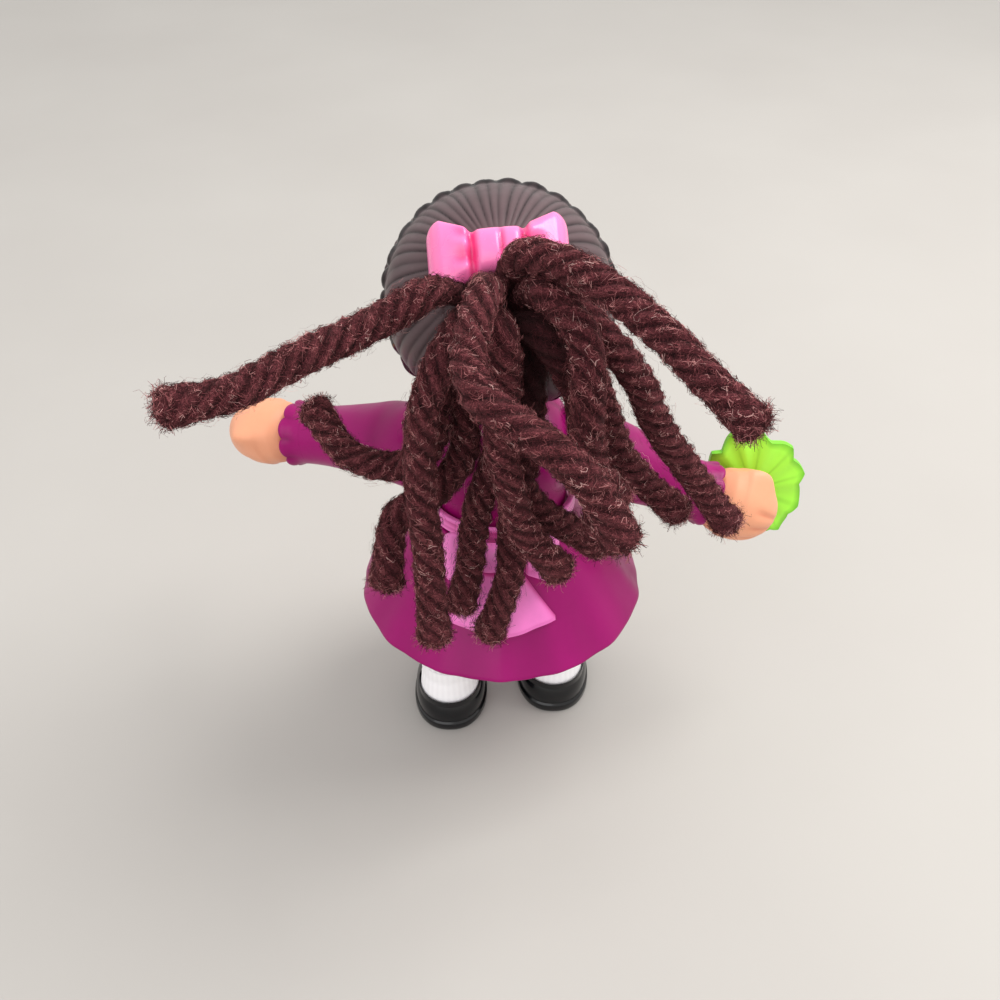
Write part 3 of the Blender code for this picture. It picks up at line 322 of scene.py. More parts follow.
class Strand:
    """One strand: its line by distance, two directions square to it, and the ropy radius round it."""

    def __init__(self, line, seed, dim_length):
        self.line, self.turn, self.dim_length = line, 1.7 * seed, dim_length
        steps = np.linalg.norm(np.diff(line, axis=0), axis=1)
        self.along = np.concatenate([[0.0], np.cumsum(steps)])
        self.length = self.along[-1]
        self.tangent = unit(np.gradient(line, self.along, axis=0))
        flattest = np.linalg.svd(line - line.mean(axis=0))[2][2]
        self.across = unit(np.cross(self.tangent, flattest))
        self.over = np.cross(self.tangent, self.across)

    def at(self, table, distance):
        """A table of vectors along the line, read between its entries."""
        return np.stack([np.interp(distance, self.along, table[:, k]) for k in range(3)], axis=-1)

    def ply(self, distance, angle):
        """Height on the plies, 1 on a crest and 0 in a groove: a rounded cosine that turns with distance."""
        phase = 0.5 * PLIES * (angle + 2.0 * np.pi * distance / TWIST_LENGTH + self.turn)
        return np.abs(np.cos(phase)) ** 0.75

    def radius(self, distance, angle):
        """Outline swell times the plies' rise and fall times slow lumps, closed by a dome at the cut end."""
        full = ROOT_RADIUS + (YARN_RADIUS - ROOT_RADIUS) * ease(distance / SWELL_LENGTH)
        end = ease((distance - self.length + END_LENGTH) / END_LENGTH)
        depth = PLY_DEPTH * (1.0 - 0.75 * end)
        lumps = np.sin(3.0 * angle + 900.0 * distance + self.turn) + np.sin(2.0 * angle - 1700.0 * distance)
        dome = np.sqrt(1.0 - np.clip((distance - self.length + DOME) / DOME, 0.0, 0.999) ** 2)
        ropy = 1.06 - depth * (1.0 - self.ply(distance, angle)) + 0.022 * lumps
        return full * ropy * (1.0 + END_FLARE * end) * dome

    def light(self, distance):
        """Share of light that gets in: a smooth rise from the dark of the hole to the strand's open end."""
        return 0.06 + 0.94 * ease(distance / self.dim_length)

    def place(self, distance, angle, lift):
        """A point off the strand: along its line, round it by an angle, above its surface by a lift."""
        middle = self.at(self.line, distance)
        middle += self.tangent[-1] * np.clip(distance - self.length, 0.0, None)[..., None]
        outward = np.cos(angle)[..., None] * self.at(self.across, distance)
        outward += np.sin(angle)[..., None] * self.at(self.over, distance)
        return middle + unit(outward) * (self.radius(distance, angle) + lift)[..., None]


strands = [Strand(line, seed, DEEP.get(seed + 1, NEAR)) for seed, line in enumerate(yarn_lines)]
print("strands:", len(strands), "twist of", PLIES, "plies every", TWIST_LENGTH / MM, "mm")

# %% [markdown]
# The rope's own surface is a grid of that radius. Beside its points it keeps three values: a shade that is
# dark in the grooves, how much light gets in, and the rope's own untwisted coordinates in millimetres, so
# that a streaky pattern can run along each ply. The map named OFBake spreads the rope over most of a picture
# and leaves a strip for the loose fibres.

# %% Rope grid
ROUND, ROW_STEP, FIBRE_SHADES = 50, 0.28 * MM, 48


def rope_body(strand):
    """Points, faces, shades, light, rope coordinates and map places of a strand's twisted surface."""
    straight = np.linspace(0.0, strand.length - DOME, int((strand.length - DOME) / ROW_STEP))
    tip = strand.length - DOME + DOME * np.sin(np.linspace(0.0, 0.5 * np.pi, 8)[1:])
    angle = 2.0 * np.pi * np.arange(ROUND) / ROUND
    distance, angle = np.meshgrid(np.concatenate([straight, tip]), angle, indexing="ij")
    grid = strand.place(distance, angle, np.zeros_like(distance))
    points, quads, tris = tube(grid)
    turned = angle + 2.0 * np.pi * distance / TWIST_LENGTH
    rope = np.stack([2.0 * np.cos(turned), 2.0 * np.sin(turned), distance / MM], axis=-1).reshape(-1, 3)
    end = ease((distance - strand.length + END_LENGTH) / END_LENGTH)
    ply = strand.ply(distance, angle)
    light = strand.light(distance)
    shade = (0.26 * ply + end * (0.14 - 0.14 * ply)) * light
    shade, light = (np.append(value.ravel(), value[[0, -1], 0]) for value in (shade, light))
    rope = np.vstack([rope, rope[:1], rope[-1:]])
    rows = len(distance)
    row, column = np.divmod(quads, ROUND)
    column = np.where((column == 0) & (column.max(axis=1, keepdims=True) == ROUND - 1), ROUND, column)
    quad_map = np.stack([0.02 + 0.84 * row / (rows - 1), 0.01 + 0.98 * column / ROUND], axis=-1)
    fan = np.stack([0.005 + 0.005 * (tris == ROUND * rows) + 0.86 * (tris >= ROUND * (rows - 1)),
                    0.01 + 0.98 * (tris % ROUND) / ROUND], axis=-1)
    return points, quads, tris, shade, light, rope, np.vstack([quad_map.reshape(-1, 2), fan.reshape(-1, 2)])


print("rope rows for the first strand:", int((strands[0].length - DOME) / ROW_STEP))

# %% [markdown]
# ## Fuzz
# Spun acrylic yarn is covered with fine curly fibres. Most lie on the rope, so close that they hide it, some
# stand off it in loops, and the cut end is felted all over. Particle hair would not export, so the fibres are
# thin three-sided tubes, all computed together. Each is a short path in the rope's own terms, distance along,
# angle round and lift, with a wave of its own, and a seeded generator makes the same fuzz each time.

# %% Fibres
FIBRE_RADIUS = 0.032 * MM
FUZZ = {"lying": (2900, 5, 0.7 * MM, 0.4 * MM, 0.26 * MM, 1.0),
        "stray": (240, 8, 2.1 * MM, 1.1 * MM, 0.5 * MM, 0.45)}
TUFT_COUNT, TUFT_KNOTS, TUFT_REACH, TUFT_CURL = 420, 5, 0.5 * MM, 0.28 * MM


def fibre_tubes(paths, radii):
    """Three-sided tubes along many paths at once: at each point, a triangle square to the path."""
    count, knots = paths.shape[:2]
    ahead = unit(np.gradient(paths, axis=1))
    aside = unit(np.cross(ahead, np.roll(ahead, 1, axis=2) + 0.3))
    above = np.cross(ahead, aside)
    corner = 2.0 * np.pi * np.arange(3) / 3.0
    ring = np.cos(corner)[:, None] * aside[:, :, None] + np.sin(corner)[:, None] * above[:, :, None]
    points = (paths[:, :, None] + ring * radii[:, :, None, None]).reshape(-1, 3)
    start = np.arange(count)[:, None] * knots * 3
    quads = (ring_faces(knots, 3)[None] + start[:, :, None]).reshape(-1, 4)
    ends = np.array([[0, 2, 1], [knots * 3 - 3, knots * 3 - 2, knots * 3 - 1]])
    return points, quads, (ends[None] + start[:, :, None]).reshape(-1, 3)


def fibre_paths(strand, rng, count, knots, reach, lift, curl):
    """Paths in rope terms and their light: a stretch along, a slant round, an arch of lift, and two waves."""
    t = np.linspace(0.0, 1.0, knots)[None, :]

    def one(low, high):
        """A random number for each fibre."""
        return rng.uniform(low, high, (count, 1))

    start = one(0.2 * MM, strand.length - 0.2 * MM)
    wave, cross_wave = (one(0.4, 1.4) * np.sin(2.0 * np.pi * one(0.6, 2.2) * t + one(0.0, 6.3))
                        for _ in range(2))
    distance = start + reach * one(-1.0, 1.0) * t + curl * (cross_wave - cross_wave[:, :1])
    distance = np.clip(distance, 0.1 * MM, strand.length - 0.12 * MM)
    foot = one(0.0, 2.0 * np.pi)
    angle = foot + (reach * one(-1.0, 1.0) * t + curl * (wave - wave[:, :1])) / YARN_RADIUS
    arch = np.sin(np.pi * t * one(0.4, 1.0))
    lit = strand.light(start) * (0.4 + 0.6 * strand.ply(start, foot))
    return strand.place(distance, angle, 0.01 * MM + lift * one(0.1, 1.0) ** 1.5 * arch), lit[:, 0]


def tuft_paths(strand, rng):
    """Paths on the cut end: each starts on its rounded end and goes out from it, with a bend and a wave."""
    t = np.linspace(0.0, 1.0, TUFT_KNOTS)[None, :, None]
    slope = np.arccos(rng.uniform(0.0, 1.0, TUFT_COUNT))[:, None]
    angle = rng.uniform(0.0, 2.0 * np.pi, TUFT_COUNT)[:, None]
    ring = np.cos(angle) * strand.across[-1] + np.sin(angle) * strand.over[-1]
    ahead = strand.tangent[-1]
    base = strand.line[-1] + DOME * (np.cos(slope) - 1.0) * ahead
    base = base + YARN_RADIUS * (1.0 + END_FLARE) * np.sin(slope) * ring
    out = TUFT_REACH * rng.uniform(-0.1, 1.0, (TUFT_COUNT, 1)) ** 2
    out = out * (np.cos(slope) * ahead + np.sin(slope) * ring)
    bend, wave = (rng.normal(0.0, TUFT_CURL, (TUFT_COUNT, 1, 3)) for _ in range(2))
    return base[:, None] + out[:, None] * t + 1.6 * bend * t + wave * np.sin(2.0 * np.pi * t)


def fuzz_body(strand, rng):
    """Points, faces, shades and map places of all the loose fibres of a strand."""
    groups = []
    for count, knots, reach, lift, curl, weight in FUZZ.values():
        groups.append((*fibre_paths(strand, rng, count, knots, reach, lift, curl), weight))
    groups.append((tuft_paths(strand, rng), np.full(TUFT_COUNT, 0.9), 1.0))
    sets, first = [], 0
    for paths, lit, weight in groups:
        count, knots = paths.shape[:2]
        taper = weight * np.linspace(1.0, 0.45, knots)[None, :] * rng.uniform(0.7, 1.25, (count, 1))
        points, quads, tris = fibre_tubes(paths, FIBRE_RADIUS * taper)
        tone = np.floor(FIBRE_SHADES * 0.999 * lit * rng.uniform(0.0, 1.0, count)).astype(int)
        shade = np.repeat(0.08 + 0.92 * (tone / (FIBRE_SHADES - 1)) ** 1.5, knots * 3)
        step, side = np.divmod(quads % (knots * 3), 3)
        side = np.where((side == 0) & (side.max(axis=1, keepdims=True) == 2), 3, side)
        strip = np.repeat(tone, (knots - 1) * 3)[:, None]
        up_strip = (strip + 0.1 + 0.8 * step / (knots - 1)) / FIBRE_SHADES
        quad_map = np.stack([0.9 + 0.03 * side, up_strip], axis=-1)
        cap = np.broadcast_to(np.array([[0.9, 0.2], [0.95, 0.2], [0.95, 0.8]]), (len(tris), 3, 2)).copy()
        cap[:, :, 1] = (np.repeat(tone, 2)[:, None] + cap[:, :, 1]) / FIBRE_SHADES
        sets.append((points, quads + first, tris + first, shade, quad_map.reshape(-1, 2), cap.reshape(-1, 2)))
        first += len(points)
    return [np.concatenate(column) for column in zip(*sets)]


print("fibres on each strand:", sum(row[0] for row in FUZZ.values()) + TUFT_COUNT)

# %% [markdown]
# ## The yarn's finish
# Acrylic yarn is matt. Its colour comes from light lost between fibres: near black in the grooves, a warm red
# brown on the plies, and rosy where single fibres catch the light. The stored shade gives the broad tone, and
# two noises in the rope's own coordinates give the surface between the fibres: one stretched along the plies
# and one fine and curly like felt. Both fade where little light gets in. A little sheen lifts the edges.

# %% Yarn finish
yarn_finish, tree, shader = new_finish("yarn_acrylic")
shade = stored(tree, "shade")
rope = stored(tree, "rope", "Vector")
light = stored(tree, "light")
drawn_out = add_node(tree, "ShaderNodeMapping", Vector=rope, Scale=(5.5, 5.5, 0.9)).outputs["Vector"]
streak = noise(tree, drawn_out, 1.0, Detail=4.0, Roughness=0.65)
felt = noise(tree, rope, 5.5, Detail=3.0, Roughness=0.7, Distortion=2.0)
streak_part = arithmetic(tree, "MULTIPLY_ADD", streak, 0.5, -0.25)
felt_part = arithmetic(tree, "MULTIPLY_ADD", felt, 1.5, -0.73)
both = arithmetic(tree, "ADD", streak_part, felt_part)
dimmed = arithmetic(tree, "MULTIPLY", both, light)
tone = arithmetic(tree, "ADD", shade, dimmed, clamp=True)
ramp = add_node(tree, "ShaderNodeValToRGB", Fac=tone)
stops = ((0.0, (8, 2, 3)), (0.3, (86, 38, 44)), (0.55, (152, 84, 88)), (0.8, (204, 138, 137)),
         (1.0, (242, 198, 192)))
ramp.color_ramp.elements.remove(ramp.color_ramp.elements[1])
for spot, colour in stops:
    stop = ramp.color_ramp.elements[0] if spot == 0.0 else ramp.color_ramp.elements.new(spot)
    stop.color = linear(*colour)
tree.links.new(ramp.outputs["Color"], shader.inputs["Base Color"])
nap = add_node(tree, "ShaderNodeBump", Height=felt, Strength=0.8, Distance=0.12 * MM)
tree.links.new(nap.outputs["Normal"], shader.inputs["Normal"])
shader.inputs["Roughness"].default_value = 0.92
shader.inputs["Specular IOR Level"].default_value = 0.15
shader.inputs["Sheen Weight"].default_value = 0.12
shader.inputs["Sheen Roughness"].default_value = 0.45
shader.inputs["Sheen Tint"].default_value = linear(205, 150, 145)
print("yarn finish:", len(tree.nodes), "nodes")

# %% [markdown]
# ## Set the strands
# Every strand is made as one piece along the line it follows, its rope and its fibres together. The strands
# that stand out or stay short turn with the head. The long ones lie on the back; they are carried by no body
# and keep their place.

# %% Yarn strands
HANGING = {3, 4, 5, 6, 9, 11, 12, 13, 14}
for number, strand in enumerate(strands, 1):
    points, quads, tris, shade, light, rope, rope_map = rope_body(strand)
    fuzz = fuzz_body(strand, np.random.default_rng(100 + number))
    fuzz_points, fuzz_quads, fuzz_tris, fuzz_shade, fuzz_map, cap_map = fuzz
    shape = (np.vstack([points, fuzz_points]), np.vstack([quads, fuzz_quads + len(points)]),
             np.vstack([tris, fuzz_tris + len(points)]))
    values = {"shade": np.append(shade, fuzz_shade), "light": np.append(light, np.zeros(len(fuzz_points))),
              "rope": np.vstack([rope, np.zeros_like(fuzz_points)])}
    hanging = number in HANGING
    piece = make_piece(f"ropy_strand_{number:02d}", shape, yarn_finish, None if hanging else "head",
                       [f"yarn_strand_{number:02d}"], values)
    quad_corners = len(quads) * 4
    places = np.vstack([rope_map[:quad_corners], fuzz_map, rope_map[quad_corners:], cap_map])
    piece.data.uv_layers.new(name="OFBake").uv.foreach_set("vector", places.astype(np.float32).ravel())
    if hanging:
        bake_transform(piece)

# %% [markdown]
# ## Finishes that the plastics share
# All the moulded pieces are vinyl or hard plastic from one small factory, and all have been handled. Two
# effects serve them all, so each is a node group that is built once: a slow drift of tone with a fine mottle,
# as pigment settles in a mould, and the marks of handling, which are smudges that change the gloss and a fine
# grain from the mould's steel. They put out colours and values only, and each finish has its own shader.

# %% Shared node groups
def new_group(name, inputs, outputs):
    """A shader node group with named sockets, and its input and output nodes."""
    group = bpy.data.node_groups.new(name, "ShaderNodeTree")
    for label, kind, value in inputs:
        socket = group.interface.new_socket(label, in_out="INPUT", socket_type=kind)
        socket.default_value = value
    for label, kind in outputs:
        group.interface.new_socket(label, in_out="OUTPUT", socket_type=kind)
    return group, group.nodes.new("NodeGroupInput").outputs, group.nodes.new("NodeGroupOutput").inputs


COLOUR, FLOAT = "NodeSocketColor", "NodeSocketFloat"
tone_drift, given, result = new_group(
    "tone_drift", (("Colour", COLOUR, (0.5, 0.5, 0.5, 1.0)), ("Size", FLOAT, 180.0), ("Depth", FLOAT, 0.1)),
    (("Colour", COLOUR),))
spot = add_node(tone_drift, "ShaderNodeTexCoord").outputs["Object"]
slow = noise(tone_drift, spot, given["Size"], Detail=3.0)
finer = arithmetic(tone_drift, "MULTIPLY", given["Size"], 9.0)
mottle = noise(tone_drift, spot, finer, Detail=2.0)
mixed = arithmetic(tone_drift, "MULTIPLY_ADD", mottle, 0.3, slow)
swing = arithmetic(tone_drift, "SUBTRACT", mixed, 0.65)
scaled = arithmetic(tone_drift, "MULTIPLY", swing, given["Depth"])
level = arithmetic(tone_drift, "MULTIPLY_ADD", scaled, 4.0, 1.0)
drifted = add_node(tone_drift, "ShaderNodeVectorMath", {"operation": "SCALE"}, Vector=given["Colour"],
                   Scale=level)
tone_drift.links.new(drifted.outputs["Vector"], result["Colour"])

handling, given, result = new_group(
    "handling", (("Roughness", FLOAT, 0.4), ("Smudge", FLOAT, 0.1), ("Grain", FLOAT, 5200.0)),
    (("Roughness", FLOAT), ("Height", FLOAT)))
spot = add_node(handling, "ShaderNodeTexCoord").outputs["Object"]
smudge = noise(handling, spot, 310.0, Detail=5.0, Distortion=1.2)
around_zero = arithmetic(handling, "SUBTRACT", smudge, 0.5)
change = arithmetic(handling, "MULTIPLY", around_zero, given["Smudge"])
gloss = arithmetic(handling, "MULTIPLY_ADD", change, 3.0, given["Roughness"], clamp=True)
grain = noise(handling, spot, given["Grain"], Detail=2.0)
handling.links.new(gloss, result["Roughness"])
handling.links.new(grain, result["Height"])
print("node groups:", [group.name for group in bpy.data.node_groups])

# %% [markdown]
# ## The plastics
# The dress is a satin magenta, the sash and bows are pink, the shoes are black and very glossy, the skin is
# satin vinyl and the socks are nearly matt. They differ only in colour and gloss, so one function makes
# them. A piece may store a value on its points that mixes the finish towards a second, darker colour. On
# most pieces this is painted shade in grooves, folds and hollow insides; on the face it is the cheeks'
# printed blush. It may also store where the paint is wet, which is glossier.

# %% Plastics
def plastic(name, colour, shade_and_blush_colour, roughness, coat=0.0, drift=0.06, smudge=0.08, bump=0.12, shine=0.4):
    """A moulded plastic: colour that drifts and takes in a stored painted shade, and gloss that varies with
    handling.
    """
    material, tree, shader = new_finish(name)
    # groove: painted shade in grooves, folds and hollows, and the cheeks' printed blush on the face
    groove = stored(tree, "groove")
    tinted = add_node(tree, "ShaderNodeMix", {"data_type": "RGBA"}, Factor=groove, i6=linear(*colour),
                      i7=linear(*shade_and_blush_colour))
    toned = add_node(tree, "ShaderNodeGroup", {"node_tree": tone_drift}, Colour=tinted.outputs[2], Size=160.0,
                     Depth=drift)
    wet = stored(tree, "wet")
    base = arithmetic(tree, "MULTIPLY_ADD", wet, -0.6 * roughness, roughness)
    marks = add_node(tree, "ShaderNodeGroup", {"node_tree": handling}, Roughness=base, Smudge=smudge)
    relief = add_node(tree, "ShaderNodeBump", Height=marks.outputs["Height"], Strength=bump,
                      Distance=0.03 * MM)
    tree.links.new(toned.outputs["Colour"], shader.inputs["Base Color"])
    tree.links.new(marks.outputs["Roughness"], shader.inputs["Roughness"])
    tree.links.new(relief.outputs["Normal"], shader.inputs["Normal"])
    shader.inputs["Specular IOR Level"].default_value = shine
    shader.inputs["Coat Weight"].default_value = coat
    shader.inputs["Coat Roughness"].default_value = 0.12
    return material


# The second colour of each finish is its painted shade; on the skin it is also the cheeks' printed blush.
dress = plastic("dress_magenta", (150, 5, 100), (104, 0, 66), 0.38, coat=0.04, shine=0.2)
sash_pink = plastic("sash_pink", (246, 126, 204), (206, 66, 152), 0.38, coat=0.08)
bow_pink = plastic("bow_pink", (255, 122, 184), (236, 60, 130), 0.28, coat=0.3)
skin = plastic("skin_vinyl", (232, 160, 124), (206, 116, 86), 0.46, drift=0.03)
sock_white = plastic("sock_white", (250, 248, 250), (196, 192, 198), 0.6, drift=0.02)
shoe_black = plastic("shoe_black", (10, 11, 14), (5, 5, 7), 0.2, coat=0.3, smudge=0.06, shine=0.3)
leaf_green = plastic("leaf_green", (172, 255, 72), (104, 190, 34), 0.42, drift=0.05)
inner_cream = plastic("inner_cream", (222, 214, 198), (170, 160, 140), 0.5)
hair_paint = plastic("hair_paint", (92, 75, 78), (20, 10, 14), 0.4, drift=0.1, shine=0.15)
print("finishes:", [material.name for material in bpy.data.materials])

# %% [markdown]
# ## The hair cap
# The cap is moulded with soft ridges, like hair drawn back to the bow, and ends in a thick rim of rounded
# locks. Ridges could be a bump, but their outline shows at the rim, so they are geometry. A point on the head
# is a direction times the head's half sizes plus a lift. The ridges are a rounded cosine of the angle about
# the bow's own axis, with narrow grooves, and the rim is a roll whose height follows about thirty locks.

# %% Hair cap
HEAD_HALF = np.array([14.0, 14.0, 13.7]) * MM
HOLE_RADIUS, HEAD_WALL = 4.3 * MM, 2.0 * MM
RIM_POLAR = np.radians(99.0)
RIDGES, RIDGE_DEPTH, LOCKS, LOCK_LIFT = 54, 0.24 * MM, 30, 1.0 * MM
DRAWN_TO = np.radians(46.0)


def turns(count):
    """Angles in equal steps once round, as one row."""
    return (2.0 * np.pi * np.arange(count) / count)[None, :]


def around_axis(axis, up, directions):
    """Angle from an axis and angle round it, counted from the doll's left, of unit directions."""
    polar = np.arccos(np.clip(directions @ axis, -1.0, 1.0))
    return polar, np.arctan2(directions @ up, directions @ LEFT)


def hair_direction(polar, around):
    """Unit direction at an angle from the hair's axis and an angle round it."""
    polar, around = np.broadcast_arrays(polar, around)
    ringwise = np.cos(around)[..., None] * LEFT + np.sin(around)[..., None] * HAIR_UP
    return np.cos(polar)[..., None] * HAIR_AXIS + np.sin(polar)[..., None] * ringwise


def on_head(directions, lift):
    """Point of the head's ellipsoid in a direction, moved out by a lift."""
    return HEAD + directions * (HEAD_HALF + np.asarray(lift)[..., None])


def hair_ridges(directions):
    """Height of the drawn-back ridges, 0 in a groove to 1: a cosine round the bow's axis, its top rounded."""
    polar, around = around_axis(*tilted(DRAWN_TO), directions)
    sway = 0.02 * np.sin(5.0 * around + 2.0) + 0.012 * np.sin(17.0 * around)
    ridge = np.abs(np.cos(0.5 * RIDGES * (around + sway) + 0.25 * np.sin(4.0 * polar))) ** 0.6
    strength = ease((polar - np.radians(12.0)) / np.radians(18.0)) * (0.8 + 0.2 * np.sin(23.0 * around + 1.0))
    return 1.0 - (1.0 - ridge) * strength


start = np.arcsin(HOLE_RADIUS / HEAD_HALF[2])
part = np.concatenate([np.linspace(0.0, 0.84, 52), np.linspace(0.84, 1.0, 19)[1:]])[:, None]
around = turns(600)
locks = np.abs(np.cos(0.5 * LOCKS * around + 0.35 * np.sin(5.0 * around))) ** 0.55
locks = locks * (0.85 + 0.15 * np.sin(7.0 * around + 1.0))
bulge = np.radians(1.2) * locks * ease((part - 0.9) / 0.1)
directions = hair_direction(start + (RIM_POLAR - start) * part + bulge, around)
ridge = hair_ridges(directions)
roll = np.exp(-((part - 0.955) / 0.048) ** 2)
before_rim = 1.0 - ease((part - 0.84) / 0.06)
lift = RIDGE_DEPTH * (ridge - 0.6) * (0.3 + 0.7 * before_rim) + LOCK_LIFT * roll * (0.35 + 0.65 * locks)
outer = on_head(directions, lift)
inner_start = np.arcsin(HOLE_RADIUS / (HEAD_HALF[2] - HEAD_WALL))
inner_part = np.linspace(1.0, 0.0, 8)[:, None]
inside = (inner_part.size, around.size)
inner = on_head(hair_direction(inner_start + (RIM_POLAR - inner_start) * inner_part, around),
                np.full(inside, -HEAD_WALL))
at_rim = ease((part - 0.87) / 0.05)
# Painted shade: darker in the grooves between the ridges and all over the cap's inside; the rim of locks is
# mixed darker too.
groove = np.clip((1.0 - ridge) * (0.4 + 0.6 * before_rim) + at_rim * (1.0 - 0.15 * locks), 0, 1)
groove = np.vstack([groove, np.ones(inside)])
wet = np.vstack([at_rim * np.ones_like(around), np.zeros(inside)])
make_piece("ridged_hair_cap", hoop(np.vstack([outer, inner])), hair_paint, "head", ["hair_cap"],
           {"groove": groove.ravel(), "wet": wet.ravel()})

# %% [markdown]
# ## The fringe
# Below the rim, on the face's side, the hair goes on as a fringe of seven rounded locks over the forehead.
# This side was not seen, so it is kept plain. It is a thin closed sheet, tucked against the rim: its sections
# run forward over the outside and back underneath, and their length follows the locks.

# %% Fringe
FRINGE_REACH, FRINGE_END, FRINGE_THICKNESS, FRINGE_LOCKS = np.radians(22.0), np.radians(14.0), 0.9 * MM, 7
FRINGE_GAP, LOCK_NOTCH = 0.3 * MM, np.radians(4.0)
across = np.linspace(0.0, 1.0, 225)[:, None]
around = FRINGE_END + (np.pi - 2.0 * FRINGE_END) * across
lock = np.abs(np.sin(np.pi * FRINGE_LOCKS * across))
fine = np.abs(np.sin(6.0 * np.pi * FRINGE_LOCKS * across + 2.0 * np.sin(9.0 * across)))
tuck = 2.0 * FRINGE_GAP / HEAD_HALF[0]
reach = FRINGE_REACH * np.sin(around) + tuck - LOCK_NOTCH * (1.0 - lock)
forward = np.linspace(0.0, 1.0, 16)[None, :]
full = np.interp(forward, (0.0, 0.3, 0.6, 0.85, 1.0), (0.35, 0.8, 1.0, 0.8, 0.4))
over = on_head(hair_direction(RIM_POLAR + reach * forward, around),
               FRINGE_GAP + (FRINGE_THICKNESS + 0.2 * MM * lock + 0.09 * MM * (fine - 1.0)) * full)
back = forward[:, ::-2]
under = on_head(hair_direction(RIM_POLAR + reach * back, around),
                np.full((across.size, back.size), FRINGE_GAP))
# Painted shade: darker between the locks and all over the fringe's underside.
groove = np.broadcast_to(0.75 - 0.45 * lock - 0.3 * fine * lock, over.shape[:2])
groove = np.hstack([groove, np.ones(under.shape[:2])])
groove = np.append(np.clip(groove, 0, 1).ravel(), [1.0, 1.0])
make_piece("fringe_locks", tube(np.hstack([over, under])), hair_paint, "head", ["hair_fringe"],
           {"groove": groove}, crease=60)

# %% [markdown]
# ## The face
# The photo shows only the back of the doll, so the face is a plain calm one of its own. Its shell is closed
# at the neck's hole and at the hairline. Rows of points run from the neck up over the chin and the forehead:
# each column is a great circle from a point of the neck's ring to a point of the hairline, and small rounded
# hills and hollows, sums of Gaussians over the front of the head, give the nose, cheeks, chin, lips and eye
# places.

# %% Face shell
NECK_HOLE = np.radians(13.6)
HILLS = ((0.0, -1.4, 2.4, 0.9), (-5.6, -4.2, 3.6, 0.4), (5.6, -4.2, 3.6, 0.4), (0.0, -9.4, 2.8, 0.45),
         (0.0, -6.0, 1.9, 0.3), (-4.9, 0.8, 2.8, -0.3), (4.9, 0.8, 2.8, -0.3))


def face_relief(points):
    """Height over the plain head, in metres: Gaussian hills at places across and up, on the front only."""
    x, y, z = np.moveaxis((points - HEAD) / MM, -1, 0)
    hills = sum(height * np.exp(-((x - across) ** 2 + (z - up) ** 2) / width ** 2)
                for across, up, width, height in HILLS)
    return hills * ease(-y / 8.0) * MM


def face_direction(part, around):
    """Great circles from the neck's ring to the hairline: both ends weighted by sines of the angle left."""
    forward = np.array([0.0, -1.0, 0.0])
    ring = np.cos(around)[..., None] * LEFT + np.sin(around)[..., None] * forward
    neck = np.sin(NECK_HOLE) * ring - np.cos(NECK_HOLE) * np.array([0.0, 0.0, 1.0])
    rim = hair_direction(RIM_POLAR + FRINGE_GAP / HEAD_HALF[0], around)
    angle = np.arccos(np.sum(neck * rim, axis=-1, keepdims=True))
    part = part[..., None]
    return (np.sin((1.0 - part) * angle) * neck + np.sin(part * angle) * rim) / np.sin(angle)


part, around = np.meshgrid(np.linspace(0.0, 1.0, 90), turns(180), indexing="ij")
directions = face_direction(part, around)
plain = on_head(directions, np.zeros_like(part))
outer = on_head(directions, face_relief(plain))
inner = on_head(face_direction(part[::-15], around[::-15]), np.full_like(part[::-15], -HEAD_WALL))
x, y, z = np.moveaxis((outer - HEAD) / MM, -1, 0)
blush = sum(np.exp(-((x - side * 7.0) ** 2 + (z + 3.6) ** 2) / 7.0) for side in (-1, 1)) * ease(-y / 6.0)
make_piece("face_vinyl", hoop(np.vstack([outer, inner])), skin, "head", ["face_shell"],
           {"groove": np.append(0.75 * blush.ravel(), np.zeros(inner[..., 0].size))})

# %% [markdown]
# Eyes, brows and mouth are printed on such a doll. A print is a thin film, and here each one is a shallow
# crowned patch that follows the face, so its edge is sharp at any size. A patch is a set of shrinking ovals
# lifted a little in the middle. A stroke, such as a brow, is a flat ring carried along a curved line.

# %% Printed features
def on_face(x, z, lift):
    """Point of the face at places across and up from the head's middle, in millimetres, lifted off it."""
    depth = -HEAD_HALF[1] * np.sqrt(1.0 - (x * MM / HEAD_HALF[0]) ** 2 - (z * MM / HEAD_HALF[2]) ** 2)
    plain = HEAD + np.stack([x * MM, depth, z * MM], axis=-1)
    return plain + unit(plain - HEAD) * (face_relief(plain) + lift * MM)[..., None]


def printed_oval(x, z, half_width, half_height, lift):
    """A crowned oval on the face: front rings from the middle to the edge, then back again below the skin."""
    front, turn = np.linspace(0.05, 1.0, 10), turns(48)
    share = np.concatenate([front, np.linspace(1.0, 0.05, 4)])[:, None]
    height = np.concatenate([lift * (1.0 - 0.8 * front ** 4), np.full(4, -0.2)])[:, None]
    return tube(on_face(x + half_width * share * np.cos(turn), z + half_height * share * np.sin(turn),
                        np.broadcast_to(height, (share.size, turn.size))))


def printed_stroke(line, half_width, lift):
    """A tapered stroke: flat ovals square to a line across the face, half their height above the skin."""
    line = np.asarray(line, float)
    along = np.linspace(0.0, 1.0, len(line))
    taper = half_width * np.sqrt(np.clip(1.0 - (2.0 * along - 1.0) ** 2, 0.02, 1.0))
    ahead = unit(np.gradient(line, axis=0))
    turn = turns(12)
    aside = taper[:, None] * np.cos(turn)
    return tube(on_face(line[:, :1] - ahead[:, 1:] * aside, line[:, 1:] + ahead[:, :1] * aside,
                        lift * np.sin(turn)))


